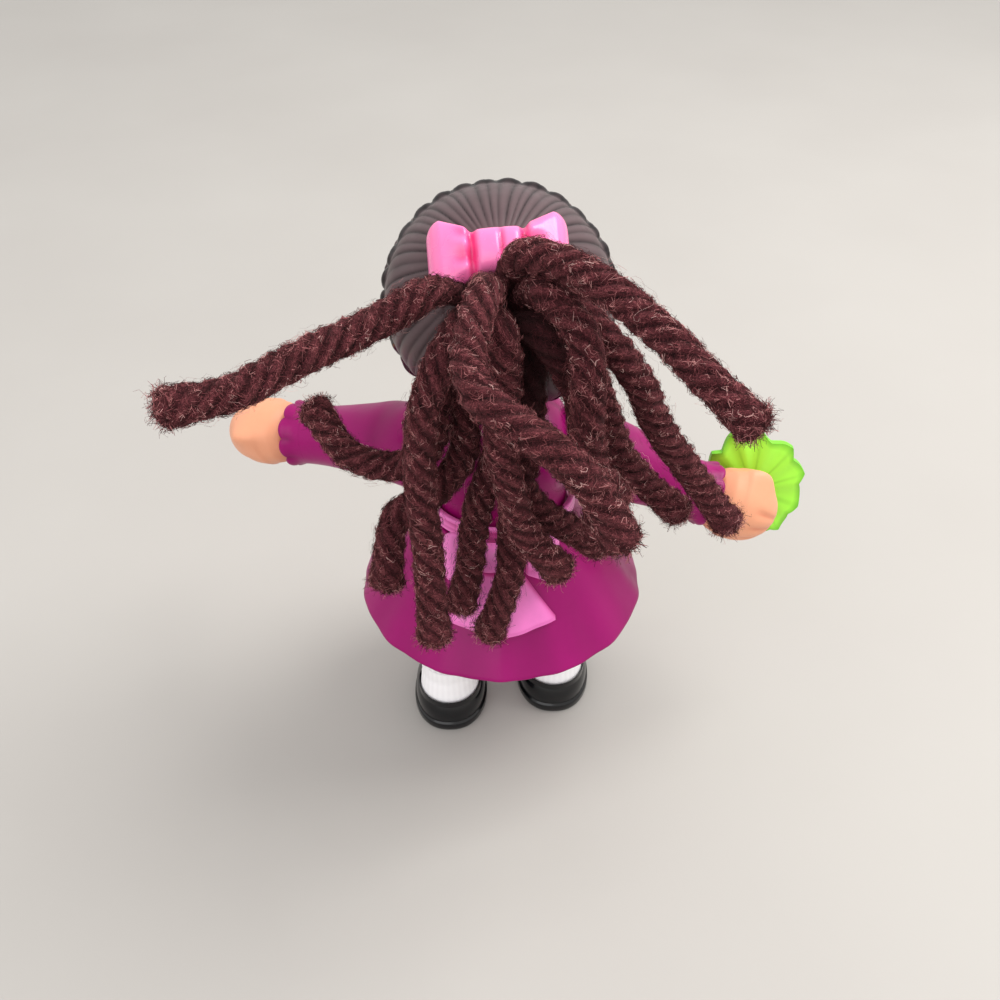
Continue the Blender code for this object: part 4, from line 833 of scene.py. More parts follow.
eye_white = plastic("eye_white", (240, 238, 236), (214, 210, 210), 0.3, coat=0.3, drift=0.02)
eye_brown = plastic("eye_brown", (96, 58, 34), (52, 30, 18), 0.25, coat=0.4)
eye_dark = plastic("eye_dark", (26, 20, 20), (14, 10, 10), 0.25, coat=0.4)
lip_rose = plastic("lip_rose", (206, 92, 92), (170, 62, 66), 0.35, coat=0.2)
EYE_REACH = 4.9
for side, name in ((1, "left"), (-1, "right")):
    middle = EYE_REACH * side
    inward = middle - 0.1 * side
    ovals = {"eye_white": ((middle, 0.5, 2.0, 2.4, 0.16), eye_white),
             "iris": ((inward, 0.3, 1.3, 1.6, 0.24), eye_brown),
             "pupil": ((inward, 0.3, 0.7, 0.95, 0.3), eye_dark),
             "eye_glint": ((middle - 0.5, 1.0, 0.36, 0.42, 0.35), eye_white)}
    for print_name, (oval, finish) in ovals.items():
        make_piece(f"{name}_{print_name}", printed_oval(*oval), finish, "head")
    lid = np.linspace(np.radians(12.0), np.radians(168.0), 30)
    upper = np.stack([middle + 2.15 * np.cos(lid), 0.6 + 2.5 * np.sin(lid)], axis=1)
    make_piece(f"{name}_lash_line", printed_stroke(upper, 0.3, 0.26), eye_dark, "head")
    bend = np.linspace(-1.0, 1.0, 24)
    brow = np.stack([middle + 2.3 * bend, 5.0 - 0.7 * bend ** 2], axis=1)
    make_piece(f"{name}_brow", printed_stroke(brow, 0.32, 0.2), hair_paint, "head")
smile = np.linspace(-1.0, 1.0, 30)
lips = np.stack([2.5 * smile, -6.6 + 0.6 * smile ** 2], axis=1)
make_piece("mouth_line", printed_stroke(lips, 0.42, 0.25), lip_rose, "head")

# %% [markdown]
# ## The bows
# One bow sits in the hair and one on the sash. Both are moulded solids that look like a folded ribbon: a knot
# with two upright flutes, and two loops that are creased where they enter the knot and puff out to a rounded
# end. A bow is a row of rings across its width. Each ring is an oval with its own height above and below and
# its own depth, flat at the back, and the creases are narrow hollows that fan out from the knot.

# %% Bow surface
def rounded(wave, power):
    """A wave's size raised to a power, its sign kept: below 1, its tops are broad and its sides steep."""
    return np.sign(wave) * np.abs(wave) ** power


def joined(x, y, z):
    """Points from three arrays of coordinates that are stretched to one shape."""
    return np.stack(np.broadcast_arrays(x, y, z), axis=-1)


def bow_rings(width, knot_height, end_height, thickness, droop):
    """Rings of a tied bow and the painted shade of its creases: width along x, height along y, front along z.
    """
    side = np.sin(np.linspace(-0.5 * np.pi, 0.5 * np.pi, 121))[1:-1, None]
    turn = turns(64)
    x, reach = 0.5 * width * side, np.abs(side)
    loop, flare = ease((reach - 0.33) / 0.42), np.clip((reach - 0.3) / 0.5, 0.0, 1.0)
    waist = np.exp(-((reach - 0.37) / 0.055) ** 2)
    end = np.sqrt(np.clip(1.0 - (np.clip(reach - 0.78, 0.0, None) / 0.22) ** 2, 0.01, 1.0))
    half_height = 0.5 * (knot_height + (end_height - knot_height) * flare)
    half_height = half_height * (1.0 - 0.05 * waist) * (0.62 + 0.38 * end)
    depth = thickness * (1.0 - 0.42 * waist) * (1.0 - 0.18 * loop) * end
    up = rounded(np.sin(turn), 0.8)
    out = rounded(np.cos(turn), 0.8)
    front = np.clip(np.cos(turn), 0.0, 1.0)
    flute = np.exp(-((side + 0.04) / 0.035) ** 2) + 0.6 * np.exp(-((reach - 0.33) / 0.03) ** 2)
    fan = np.exp(-((reach - 0.5) / 0.13) ** 2) * (0.5 + 0.5 * np.cos(7.0 * up + 1.2 * np.sign(side)))
    # Painted shade in the knot's flutes, in the creases that fan out and at the waist by the knot.
    groove = np.clip(0.9 * flute * front + 0.8 * fan * front + 0.7 * waist, 0.0, 1.0)
    hollow = front * thickness * (0.16 * flute * (reach < 0.34) + 0.2 * fan)
    z = 0.5 * depth * (1.0 + out) - hollow - droop * x ** 2
    return joined(x, half_height * up, z), np.append(groove.ravel(), [0.0, 0.0])


def stand_bow(rings, middle, up, out, lean):
    """Turn a bow by its lean in its own plane and stand it at a place, by its directions up and out."""
    x, y, z = np.moveaxis(rings, -1, 0)
    turned = np.stack([x * np.cos(lean) + y * np.sin(lean), y * np.cos(lean) - x * np.sin(lean), z], axis=-1)
    return middle + turned @ np.array([LEFT, up, out])


BOW_LIFT, SASH_SLOPE = np.radians(48.5), np.radians(19.0)
out, up = tilted(BOW_LIFT)
seat = HEAD_HALF[1] * out[1] ** 2 + HEAD_HALF[2] * out[2] ** 2 + 0.5 * MM
rings, groove = bow_rings(width=16.0 * MM, knot_height=5.0 * MM, end_height=9.0 * MM, thickness=3.4 * MM,
                          droop=0.4 / HEAD_HALF[0])
make_piece("hair_ribbon_bow", tube(stand_bow(rings, HEAD + out * seat, up, out, np.radians(4.5))), bow_pink,
           "head", ["hair_bow"], {"groove": groove})

# %% [markdown]
# ## The bodice
# The bodice is one rounded chest moulded in two halves that close round the neck and the shoulder pegs. It is
# a stack of rings from the waist to the collar. Each ring is a superellipse: round at the waist, squarer at
# the shoulders so that the arms seat against it. The shoulders roll over to the collar, and a fine groove at
# each side is the parting line of the two halves. The inside is a plain wall, so the neck can turn in it.

# %% Bodice
MIDDLE = np.array([HEAD[0], 0.0, 0.0])
WAIST, BODICE_TOP, SHOULDER = 38.5 * MM, 56.15 * MM, 48.7 * MM
CHEST, COLLAR, CHEST_DEPTH, NECK_BORE = 9.3 * MM, 4.9 * MM, 0.92, 3.2 * MM


def superellipse(turn, half_width, half_depth, power):
    """Points round a ring: cosine and sine raised to 2 / power, which squares the ring as power grows."""
    return half_width * rounded(np.cos(turn), 2.0 / power), half_depth * rounded(np.sin(turn), 2.0 / power)


turn = turns(128)
roll_over = 50.0 + 6.15 * np.sin(np.linspace(0.0, 0.5 * np.pi, 26))[1:]
z = np.concatenate([np.linspace(38.8, 50.0, 22), roll_over])[:, None] * MM
over = np.clip((z - 50.0 * MM) / (BODICE_TOP - 50.0 * MM), 0.0, 1.0)
half_width = COLLAR + (CHEST - 0.05 * MM - COLLAR) * (1.0 - over ** 2.6) ** 0.6
half_depth = CHEST_DEPTH * (COLLAR + (CHEST - COLLAR) * (1.0 - ease(over) * 0.98))
x, y = superellipse(turn, half_width, half_depth, 2.0 + 1.5 * ease((z - 43.0 * MM) / (6.0 * MM)))
parting = np.exp(-(y / (0.2 * MM)) ** 2)
outer = MIDDLE + joined(x * (1.0 - 0.012 * parting), y, z)
inside_z = np.linspace(56.1, 38.9, 12)[:, None] * MM
inside_width = np.minimum(np.interp(inside_z, z[:, 0], half_width[:, 0]) - 1.6 * MM, CHEST)
inside_width = np.where(inside_z > 54.4 * MM, NECK_BORE, np.maximum(inside_width, NECK_BORE))
x, y = superellipse(turn, inside_width, CHEST_DEPTH * inside_width, 2.0)
inner = MIDDLE + joined(x, y, inside_z)
# The stored value darkens the parting line at each side and, as painted shade, the whole inside wall.
make_piece("bodice_chest", hoop(np.vstack([outer, inner])), dress, "torso",
           ["bodice_front", "bodice_back"],
           {"groove": np.append(0.6 * parting.ravel(), np.ones(inner[..., 0].size))}, crease=50)

# %% [markdown]
# ## The skirt
# The skirt is a smooth bell that hangs from the waist. Its outside is a straight cone with a slight swell
# and fourteen soft flutes that grow towards the hem. A hem has thickness and a rounded edge, so the grid
# runs down the outside, round the edge and up the inside. Shallow folds between the flutes break up the
# reflections.

# %% Skirt
HEM, HEM_RADIUS, WAIST_RADIUS, SKIRT_WALL = 23.4 * MM, 20.75 * MM, 9.6 * MM, 1.5 * MM
FLUTES, FLUTE_DEPTH, HEM_START = 14, 0.12 * MM, 0.97


def skirt_radius(drop, around):
    """Radius at a share of the drop from waist to hem: a cone, a swell, flutes and shallow folds."""
    cone = WAIST_RADIUS + (HEM_RADIUS - WAIST_RADIUS) * drop
    cone = cone + 0.6 * MM * np.sin(np.pi * np.clip(drop, 0.0, 1.0))
    folds = 0.05 * MM * np.sin(2.0 * FLUTES * around + 1.0 + 2.0 * np.sin(3.0 * around))
    folds = folds * ease((drop - 0.15) / 0.6)
    return cone + FLUTE_DEPTH * ease(drop) * np.cos(FLUTES * around) + folds


around = turns(336)
drop = np.linspace(0.0, HEM_START, 40)[:, None]
edge = np.linspace(0.0, np.pi, 9)[1:-1, None]
outer = skirt_radius(drop, around)
lip = skirt_radius(np.full_like(edge, HEM_START), around) - 0.5 * SKIRT_WALL * (1.0 - np.cos(edge))
inside = skirt_radius(drop[::-4], around) - SKIRT_WALL
radius = np.vstack([outer, lip, inside])
low = WAIST + (HEM - WAIST) * HEM_START
z = np.concatenate([WAIST + (HEM - WAIST) * drop[:, 0], low - (low - HEM) * np.sin(edge[:, 0]),
                    WAIST + (HEM - WAIST) * drop[::-4, 0]])[:, None]
grid = MIDDLE + joined(radius * np.sin(around), radius * np.cos(around), z)
valley = 0.5 - 0.5 * np.cos(FLUTES * around)
# Painted shade: darker in the valleys between the flutes, round the hem's edge and all over the inside.
groove = np.vstack([0.2 * valley * ease(drop), np.full_like(lip, 0.35), np.full_like(inside, 0.9)])
make_piece("bell_skirt", hoop(grid), dress, "torso", ["skirt"], {"groove": groove.ravel()})

# %% [markdown]
# ## The sash
# A band with two soft pleats goes round the waist and is tied behind. The band is a profile carried round
# the bodice's ring. The tails fall from the knot over the skirt and widen to slanting ends: each is a closed
# sheet that keeps to the skirt's own radius, with a thickened hem along its edges.

# %% Sash band and tails
SASH_LOW = 39.1 * MM
turn = turns(160)
profile = np.linspace(0.0, 2.0 * np.pi, 36, endpoint=False)[:, None]
rise = 1.25 * MM * (1.0 + rounded(np.sin(profile), 0.5))
swell = 0.45 * MM * (1.0 + rounded(np.cos(profile), 0.5))
pleat = np.exp(-((rise - 0.85 * MM) / (0.17 * MM)) ** 2) + np.exp(-((rise - 1.7 * MM) / (0.17 * MM)) ** 2)
pleat = pleat * (np.cos(profile) > 0.0) * (1.0 + 0.3 * np.sin(9.0 * turn))
out = 0.3 * MM + swell - 0.16 * MM * pleat
grid = MIDDLE + joined((CHEST + out) * np.cos(turn), (CHEST_DEPTH * CHEST + out) * np.sin(turn),
                       SASH_LOW + rise)
# Painted shade in the two pleats.
make_piece("sash_band", hoop(grid), sash_pink, "torso", ["waist_sash"],
           {"groove": np.clip(0.8 * np.broadcast_to(pleat, grid.shape[:2]), 0, 1).ravel()})

slope_out, slope_up = tilted(SASH_SLOPE)
knot = MIDDLE + np.array([0.0, CHEST_DEPTH * CHEST + 1.5 * MM, 41.6 * MM]) - slope_up * 3.1 * MM
rings, groove = bow_rings(width=15.5 * MM, knot_height=4.0 * MM, end_height=7.2 * MM, thickness=3.0 * MM,
                          droop=0.0)
make_piece("sash_ribbon_bow", tube(stand_bow(rings, knot, slope_up, slope_out, 0.0)), sash_pink, "torso",
           ["sash_bow"], {"groove": groove})


def sash_tail(side):
    """Rings down a tail, across its outside and back underneath, at the skirt's radius plus a lift."""
    part = np.linspace(0.0, 1.0, 40)[:, None]
    across = np.concatenate([np.linspace(0.0, 1.0, 22), np.linspace(1.0, 0.0, 22)])[None, :]
    hem = np.clip(1.0 - np.minimum(across, 1.0 - across) / 0.07, 0.0, 1.0) + ease((part - 0.9) / 0.08)
    fold = np.sin(np.pi * across) ** 2 * np.sin(2.0 * np.pi * across + 0.6) * part
    outside = (np.arange(across.size) < across.size // 2)[None, :]
    lift = np.where(outside, 1.25 * MM + 0.16 * MM * fold - 0.12 * MM * ease(hem), 0.3 * MM)
    z = knot[2] - 2.6 * MM - 6.4 * MM * part * (1.0 - 0.16 * across)
    x = side * MM * (0.3 + 0.4 * part + (2.4 + 4.2 * part) * across)
    drop = (WAIST - z) / (WAIST - HEM)
    radius = skirt_radius(drop, np.zeros_like(drop)) + FLUTE_DEPTH * ease(part) + lift
    y = np.sqrt(radius ** 2 - x ** 2)
    # Darker along the hem, and painted shade on the underside.
    groove = np.append(np.where(outside, 0.35 * ease(hem), 1.0).ravel(), [0.5, 0.5])
    return MIDDLE + joined(x, y, z), groove


for side, name in ((1, "left"), (-1, "right")):
    grid, groove = sash_tail(side)
    make_piece(f"{name}_ribbon_tail", tube(grid), sash_pink, "torso", [f"{name}_sash_tail"],
               {"groove": groove}, crease=60)

# %% [markdown]
# ## The arms
# An arm is a sleeve on a shoulder peg, a flared cuff with a scalloped edge, and a mitten hand. All are rings
# carried along the arm: square to the peg at the shoulder, then bending to the arm's own direction, which
# leans forward. The whole arm is worked out about its shoulder and then turned by its swing.

# %% Arm rings
ARM_CONE, SLEEVE_ROOT, SLEEVE_END, SLEEVE_LENGTH = np.radians(25.0), 6.0 * MM, 4.2 * MM, 18.7 * MM
CUFF_START, HAND_START, HAND_END = 18.72 * MM, 22.2 * MM, 32.5 * MM
SHOULDER_REACH = 9.5 * MM
ARM_SWINGS = {"left": (1, np.radians(25.0)), "right": (-1, np.radians(88.0))}


def arm_frame(side, distance):
    """Middle, width and height directions of the arm's section at distances from its shoulder."""
    bend = ease(distance / SLEEVE_ROOT)
    angle = ARM_CONE * bend
    straight = np.array([side, 0.0, 0.0])
    leaning = np.array([side * np.cos(ARM_CONE), -np.sin(ARM_CONE), 0.0])
    middle = distance[..., None] * (straight * (1.0 - bend[..., None]) + leaning * bend[..., None])
    facing = np.stack([side * np.cos(angle), -np.sin(angle), np.zeros_like(angle)], axis=-1)
    return middle, np.cross(facing, [0.0, 0.0, 1.0]), np.array([0.0, 0.0, 1.0])


def swing_arm(name, points):
    """Turn points about the shoulder peg by the arm's swing and put them at the shoulder."""
    side, swing = ARM_SWINGS[name]
    x, y, z = np.moveaxis(points, -1, 0)
    turned = np.stack([x, y * np.cos(swing) - z * np.sin(swing),
                       y * np.sin(swing) + z * np.cos(swing)], axis=-1)
    return turned + MIDDLE + np.array([side * SHOULDER_REACH, 0.0, SHOULDER])


def arm_grid(name, distance, wide, thick):
    """Rings of an arm: at each distance, width and height from the middle, already times cosine and sine."""
    distance = np.broadcast_to(distance, wide.shape)
    middle, across, upward = arm_frame(ARM_SWINGS[name][0], distance)
    return swing_arm(name, middle + across * wide[..., None] + upward * thick[..., None])


# %% [markdown]
# The sleeve tapers from the shoulder to the wrist with a few soft creases near the shoulder. The cuff goes on
# from it, flares a little and ends in nine scallops. The hand is a closed mitten: grooves between the fingers
# on both sides and a thumb that swells out of one edge.

# %% Sleeves, cuffs and hands
turn = turns(72)
for name in ARM_SWINGS:
    side = ARM_SWINGS[name][0]
    part = np.linspace(0.0, 1.0, 46)[:, None]
    folds = np.sin(19.0 * part + 2.0 * np.sin(turn + side)) * np.exp(-((part - 0.22) / 0.2) ** 2)
    rounding = 1.0 - 0.09 * (1.0 - ease(part / 0.06))
    radius = (SLEEVE_ROOT + (SLEEVE_END - SLEEVE_ROOT) * ease(part)) * rounding + 0.09 * MM * folds
    grid = arm_grid(name, SLEEVE_LENGTH * part, radius * np.cos(turn), radius * np.sin(turn))
    # Painted shade in the creases near the shoulder and at the middles of the closed ends.
    groove = np.append((0.22 * (1.0 - folds) * np.exp(-((part - 0.22) / 0.3) ** 2)).ravel(), [1.0, 1.0])
    make_piece(f"{name}_sleeve_cloth", tube(grid), dress, f"{name}_arm", [f"{name}_sleeve"],
               {"groove": np.clip(groove, 0, 1)}, crease=55)

    scallop = np.abs(np.cos(4.5 * turn)) ** 0.7
    along = np.array([0.0, 0.1, 0.25, 0.4, 0.55, 0.7, 0.82, 0.92, 0.98, 1.0, 0.97, 0.6, 0.0])[:, None]
    wide = np.array([4.2, 4.2, 4.22, 4.26, 4.34, 4.48, 4.6, 4.66, 4.6, 4.4, 3.5, 2.95, 2.95])[:, None] * MM
    reach = along * 2.9 * MM * (1.0 - 0.14 * ease((along - 0.6) / 0.4) * (1.0 - scallop))
    radius = wide + 0.26 * MM * (scallop - 0.5) * ease((along - 0.35) / 0.4) * (wide > 4.25 * MM)
    grid = arm_grid(name, CUFF_START + 1.09 * reach, radius * np.cos(turn), radius * np.sin(turn))
    # Painted shade in the hollows between the scallops.
    groove = np.broadcast_to(0.5 * (1.0 - scallop) * ease(along / 0.6), grid.shape[:2])
    make_piece(f"{name}_scalloped_cuff", hoop(grid), dress, f"{name}_arm", [f"{name}_cuff"],
               {"groove": groove.ravel()}, crease=55)

    part = np.concatenate([[-0.6, -0.02], np.sin(np.linspace(0.0, 0.5 * np.pi, 50))])[:, None]
    outline = np.interp(part, (-0.6, -0.02, 0.0, 0.14, 0.38, 0.62, 0.82, 0.94, 1.0),
                        (0.49, 0.49, 0.68, 0.9, 1.0, 0.99, 0.87, 0.62, 0.12))
    fingertips = np.sqrt(np.clip(1.0 - (np.clip(part - 0.38, 0.0, None) / 0.624) ** 2.2, 0.003, 1.0))
    outline = np.where(part > 0.3, fingertips, outline)
    wide, thick = 5.3 * MM * outline * np.cos(turn), 4.8 * MM * outline * np.sin(turn)
    between = sum(np.exp(-((np.cos(turn) - spot) / 0.085) ** 2) for spot in (-0.5, 0.0, 0.5))
    between = between * ease((part - 0.42) / 0.25)
    thumb_side = np.exp(-(((turn + (0.0 if side > 0 else np.pi)) % (2.0 * np.pi) - np.pi) / 0.42) ** 2)
    thumb = thumb_side * ease((part - 0.05) / 0.45) * (1.0 - ease((part - 0.55) / 0.3))
    shrink = 1.0 - 0.07 * between * (1.0 - thumb_side)
    grid = arm_grid(name, HAND_START + (HAND_END - HAND_START) * part,
                    wide * shrink + 1.4 * MM * thumb * np.cos(turn), thick * shrink * (1.0 - 0.25 * thumb))
    # Painted shade between the fingers.
    groove = np.append((0.5 * between * (1.0 - thumb_side)).ravel(), [0.0, 0.0])
    make_piece(f"{name}_mitten_hand", tube(grid), skin, f"{name}_arm", [f"{name}_hand"],
               {"groove": np.clip(groove, 0, 1)})

# %% [markdown]
# ## The leaf
# The right hand holds a bright leaf with a toothed edge. It is made of shrinking copies of its outline, down
# the upper side to the middle and back underneath. The outline is a squared oval that leans to one side.
# Veins run from the middle to each tooth as shallow grooves, the blade waves a little between them, and it
# bends.

# %% Leaf
LEAF_LENGTH, LEAF_WIDTH, LEAF_TEETH, LEAF_THICKNESS = 16.4 * MM, 18.2 * MM, 11, 1.2 * MM
LEAF_OVERHANG, LEAF_LEAN, LEAF_SEAT, LEAF_SQUARENESS = 5.9 * MM, 0.25, 5.1 * MM, 2.4
TOOTH_DEPTH, TOOTH_PEAK = 1.0 * MM, 0.72
share = np.concatenate([np.linspace(0.04, 1.0, 30), np.linspace(1.0, 0.04, 8)])[:, None]
around = turns(264)
upper = np.concatenate([np.ones(30), np.zeros(8)])[:, None]
saw = (around * LEAF_TEETH / (2.0 * np.pi)) % 1.0
tooth = TOOTH_DEPTH * np.where(saw < TOOTH_PEAK, saw / TOOTH_PEAK, (1.0 - saw) / (1.0 - TOOTH_PEAK)) * share
vein = np.exp(-(np.minimum(saw, 1.0 - saw) / 0.07) ** 2) * ease(share / 0.2) * (1.0 - 0.6 * share)
along, aside = superellipse(around, (0.5 * LEAF_LENGTH - tooth) * share,
                            (0.5 * LEAF_WIDTH - tooth) * share, LEAF_SQUARENESS)
along = along - LEAF_LEAN * aside
wave = 0.25 * MM * np.sin(LEAF_TEETH * around) * share ** 2
blade = LEAF_THICKNESS * (1.0 - 0.35 * share ** 6) - 0.22 * MM * vein
lift = 1.0 * MM * (aside / (0.5 * LEAF_WIDTH)) ** 2 + wave + upper * blade
axis = np.array([-np.cos(ARM_CONE), -np.sin(ARM_CONE), 0.0])
sideways = np.cross(axis, [0.0, 0.0, 1.0])
middle = axis * (HAND_END + LEAF_OVERHANG - 0.5 * LEAF_LENGTH) + np.array([0.0, 0.0, LEAF_SEAT])
points = middle + axis * along[..., None] + sideways * aside[..., None]
points = points + np.array([0.0, 0.0, 1.0]) * lift[..., None]
# Painted shade in the veins, and darker towards the toothed edge.
groove = np.append(np.clip(0.5 * vein + 0.8 * ease((share - 0.86) / 0.14), 0, 1).ravel(), [0.2, 0.2])
make_piece("toothed_leaf", tube(swing_arm("right", points)), leaf_green, "right_arm", ["leaf_sprig"],
           {"groove": groove}, crease=50)

# %% [markdown]
# ## Legs, socks and shoes
# The legs are smooth pegs into the hips. Each sock has a turned-down cuff with fine ribs. A shoe is one
# closed surface: across the sole, up the welt and the upper, over the rounded top to the opening, and down
# inside. Between the shoe's outline and the oval of the opening, rings are blended from one to the other.

# %% Shoe and sock shapes
SHOE_LENGTH, SHOE_WIDTH, HEEL = 15.5 * MM, 12.0 * MM, 0.93
OPENING_LENGTH, SHOE_RIM, LEG_RADIUS = 10.4 * MM, 0.7 * MM, 3.7 * MM
LEG_LOW, LEG_STRAIGHT, LEG_TOP, HIP_REACH = 14.3 * MM, 28.2 * MM, 30.7 * MM, 6.2 * MM
ANKLE = 0.5 * (SHOE_LENGTH - OPENING_LENGTH) - SHOE_RIM


def shoe_plan(turn, inset):
    """Plan of a shoe: a squared oval, narrower towards the heel, drawn in by an inset."""
    toe = 0.5 * (1.0 - np.sin(turn))
    x, y = superellipse(turn, 0.5 * SHOE_WIDTH - inset, 0.5 * SHOE_LENGTH - inset, 2.3)
    return x * (HEEL + (1.0 - HEEL) * toe), y


def opening_plan(turn, inset):
    """Oval of the foot's opening, near the heel, drawn in by an inset."""
    half_width, half_length = 0.5 * SHOE_WIDTH * HEEL - SHOE_RIM - inset, 0.5 * OPENING_LENGTH - inset
    return half_width * np.cos(turn), ANKLE + half_length * np.sin(turn)


turn = turns(96)
steps = np.array([(0.0, 2.5, 0.0), (0.0, 0.5, 0.0), (0.12, 0.15, 0.0), (0.5, 0.0, 0.0), (1.3, 0.0, 0.0),
                  (1.55, 0.06, 0.0), (1.65, 0.3, 0.0), (1.8, 0.33, 0.0), (2.4, 0.27, 0.0), (3.4, 0.33, 0.0),
                  (4.2, 0.5, 0.03), (4.8, 0.8, 0.1), (5.2, 1.1, 0.3), (5.45, 1.3, 0.55), (5.62, 1.4, 0.78),
                  (5.72, 1.5, 0.9), (5.78, 1.5, 0.96), (5.7, 1.5, 1.0), (5.4, 1.5, 1.02), (3.0, 1.5, 1.02),
                  (1.7, 1.5, 1.02)])
height, inset, blend = (column[:, None] for column in steps.T)
plan_x, plan_y = shoe_plan(turn, inset * MM)
hole_x, hole_y = opening_plan(turn, 0.0)
shoe_x, shoe_y = (plan * (1.0 - np.minimum(blend, 1.0)) + hole * np.minimum(blend, 1.0)
                  for plan, hole in ((plan_x, hole_x), (plan_y, hole_y)))
# Painted shade in the welt's crease, and at the middles of the sole and of the inside.
welt_crease_shade = np.exp(-((height - 1.68) / 0.1) ** 2) * (blend < 0.5)
shoe_shade = np.append(np.broadcast_to(welt_crease_shade, shoe_x.shape).ravel(), [1.0, 1.0])
feet = {"left": np.array([8.2, 1.8, 0.0]) * MM + MIDDLE, "right": np.array([-8.2, -1.8, 0.0]) * MM + MIDDLE}
for name, foot in feet.items():
    grid = foot + joined(shoe_x, shoe_y, height * MM)
    make_piece(f"{name}_gloss_shoe", tube(grid), shoe_black, "torso", [f"{name}_shoe"],
               {"groove": shoe_shade})

# %% [markdown]
# A sock fills the shoe's opening and narrows to the round leg, so its rings go from that oval to a circle.
# The turned-down cuff is a short swell near its top, and ribs are a cosine of thirty waves round it. The leg
# goes on from there: its rings climb on a slanted line from the ankle to the hip and then straight up into
# it.

# %% Socks and legs
turn = turns(120)
rise = np.concatenate([np.linspace(1.9, 5.8, 8), np.linspace(6.2, 11.2, 14),
                       np.linspace(11.4, 14.0, 18)])[:, None]
calf = LEG_RADIUS + 0.5 * MM
up_leg = ease((rise - 4.6) / 4.6)
cuff = np.clip(1.0 - ((rise - 12.7) / 1.32) ** 4, 0.0, 1.0) ** 0.5 * (rise > 11.3)
rib = np.cos(30.0 * turn)
foot_x, foot_y = opening_plan(turn, 0.3 * MM)
radius = calf + cuff * (0.5 * MM + 0.06 * MM * rib) + 0.03 * MM * rib * (1.0 - cuff) * up_leg
wrinkle = 0.07 * MM * np.sin(2.6 * rise + np.sin(turn + 1.0)) * np.exp(-((rise - 8.2) / 1.8) ** 2)
sock_x = foot_x * (1.0 - up_leg) + (radius + wrinkle) * np.cos(turn) * up_leg
sock_y = foot_y * (1.0 - up_leg) + (ANKLE + (radius + wrinkle) * np.sin(turn)) * up_leg
# Painted shade in the valleys between the ribs and in the fold under the turned-down cuff.
under_cuff_shade = np.exp(-((rise - 11.3) / 0.14) ** 2)
sock_shade = 0.35 * (0.5 - 0.5 * rib) * np.maximum(cuff, 0.4) + 0.8 * under_cuff_shade
for name, foot in feet.items():
    side = ARM_SWINGS[name][0]
    grid = foot + joined(sock_x, sock_y, rise * MM)
    make_piece(f"{name}_ribbed_sock", tube(grid), sock_white, "torso", [f"{name}_sock"],
               {"groove": np.append(np.clip(sock_shade, 0, 1).ravel(), [0.5, 0.5])})
    part = np.linspace(0.0, 1.0, 30)[:, None]
    climb = LEG_LOW + (LEG_TOP - LEG_LOW) * part
    lean = np.clip((climb - LEG_LOW) / (LEG_STRAIGHT - LEG_LOW), 0.0, 1.0)[..., None]
    ankle, hip = foot + np.array([0.0, ANKLE, 0.0]), MIDDLE + np.array([side * HIP_REACH, 0.0, 0.0])
    centre = ankle * (1.0 - lean) + hip * lean
    knee = LEG_RADIUS * (1.0 + 0.03 * np.sin(np.pi * part) - 0.02 * np.exp(-((part - 0.5) / 0.1) ** 2))
    around = turns(48)
    section = joined(knee * np.cos(around), knee * np.sin(around), climb)
    make_piece(f"{name}_vinyl_leg", tube(centre + section), skin, "torso", [f"{name}_leg"])

# %% [markdown]
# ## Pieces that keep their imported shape
# The hip core, the shoulder pegs, the neck post and the plug in the hair are turned parts inside the doll.
# Their shapes are right as they are, so they only get their finishes.

# %% Inner pieces
INNER = {"hip_core": dress, "left_shoulder_peg": inner_cream, "right_shoulder_peg": inner_cream,
         "neck_post": skin, "yarn_plug": hair_paint}
for node, finish in INNER.items():
    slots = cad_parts[node].data.materials
    slots.clear()
    slots.append(finish)
showing = [name for name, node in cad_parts.items() if not node.hide_render]
print("packed pieces that still show:", showing)

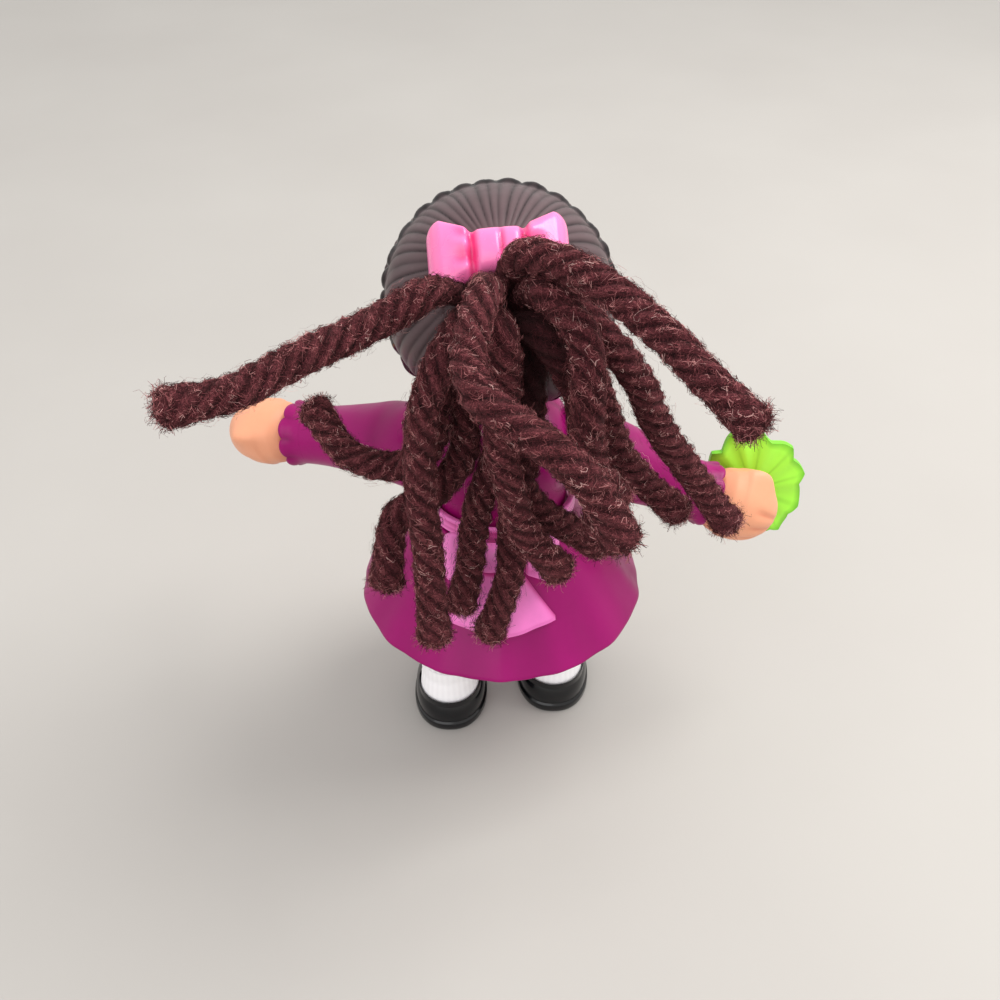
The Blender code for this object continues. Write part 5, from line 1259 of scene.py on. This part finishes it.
# %% [markdown]
# ## Light and floor
# Soft daylight from a window on the right and a pale room: a bright even world, one large lamp high on the
# right, which leaves a soft shadow on the left, and a weak one from the camera's side. The floor is a wide
# plain sheet with a faint mottle.

# %% Light and floor
def area_lamp(name, place, size, power, colour):
    """A square lamp that faces the doll's waist."""
    light = bpy.data.lights.new(name, "AREA")
    light.size, light.energy, light.color = size, power, colour
    lamp = bpy.data.objects.new(name, light)
    away = unit(np.array(place) - np.array([0.0, 0.0, 0.04]))
    right = unit(np.cross([0.0, 0.0, 1.0], away))
    turn = np.column_stack([right, np.cross(away, right), away, place])
    lamp.matrix_world = Matrix(np.vstack([turn, [0, 0, 0, 1]]).tolist())
    bpy.context.scene.collection.objects.link(lamp)


area_lamp("window", (-0.26, -0.06, 0.42), 0.3, 2.0, (1.0, 0.98, 0.95))
area_lamp("room_side", (0.2, 0.42, 0.36), 0.5, 1.0, (0.97, 0.98, 1.0))
world = bpy.data.worlds.new("pale_room")
world.use_nodes = True
world.node_tree.nodes["Background"].inputs["Color"].default_value = (1.0, 0.99, 0.97, 1.0)
world.node_tree.nodes["Background"].inputs["Strength"].default_value = 1.0
bpy.context.scene.world = world
bpy.context.scene.view_settings.view_transform = "Standard"

floor_finish, tree, shader = new_finish("pale_floor")
spot = add_node(tree, "ShaderNodeTexCoord").outputs["Object"]
mottle = noise(tree, spot, 14.0, Detail=5.0)
pale = add_node(tree, "ShaderNodeMix", {"data_type": "RGBA"}, Factor=mottle, i6=linear(172, 168, 164),
                i7=linear(182, 179, 175))
tree.links.new(pale.outputs[2], shader.inputs["Base Color"])
shader.inputs["Roughness"].default_value = 0.7
HALF_FLOOR = 3.0
sheet = bpy.data.meshes.new("floor_sheet")
sheet.from_pydata([(-HALF_FLOOR, -HALF_FLOOR, 0), (HALF_FLOOR, -HALF_FLOOR, 0), (HALF_FLOOR, HALF_FLOOR, 0),
                   (-HALF_FLOOR, HALF_FLOOR, 0)], [], [(0, 1, 2, 3)])
sheet.materials.append(floor_finish)
floor = bpy.data.objects.new("floor_sheet", sheet)
bpy.context.scene.collection.objects.link(floor)
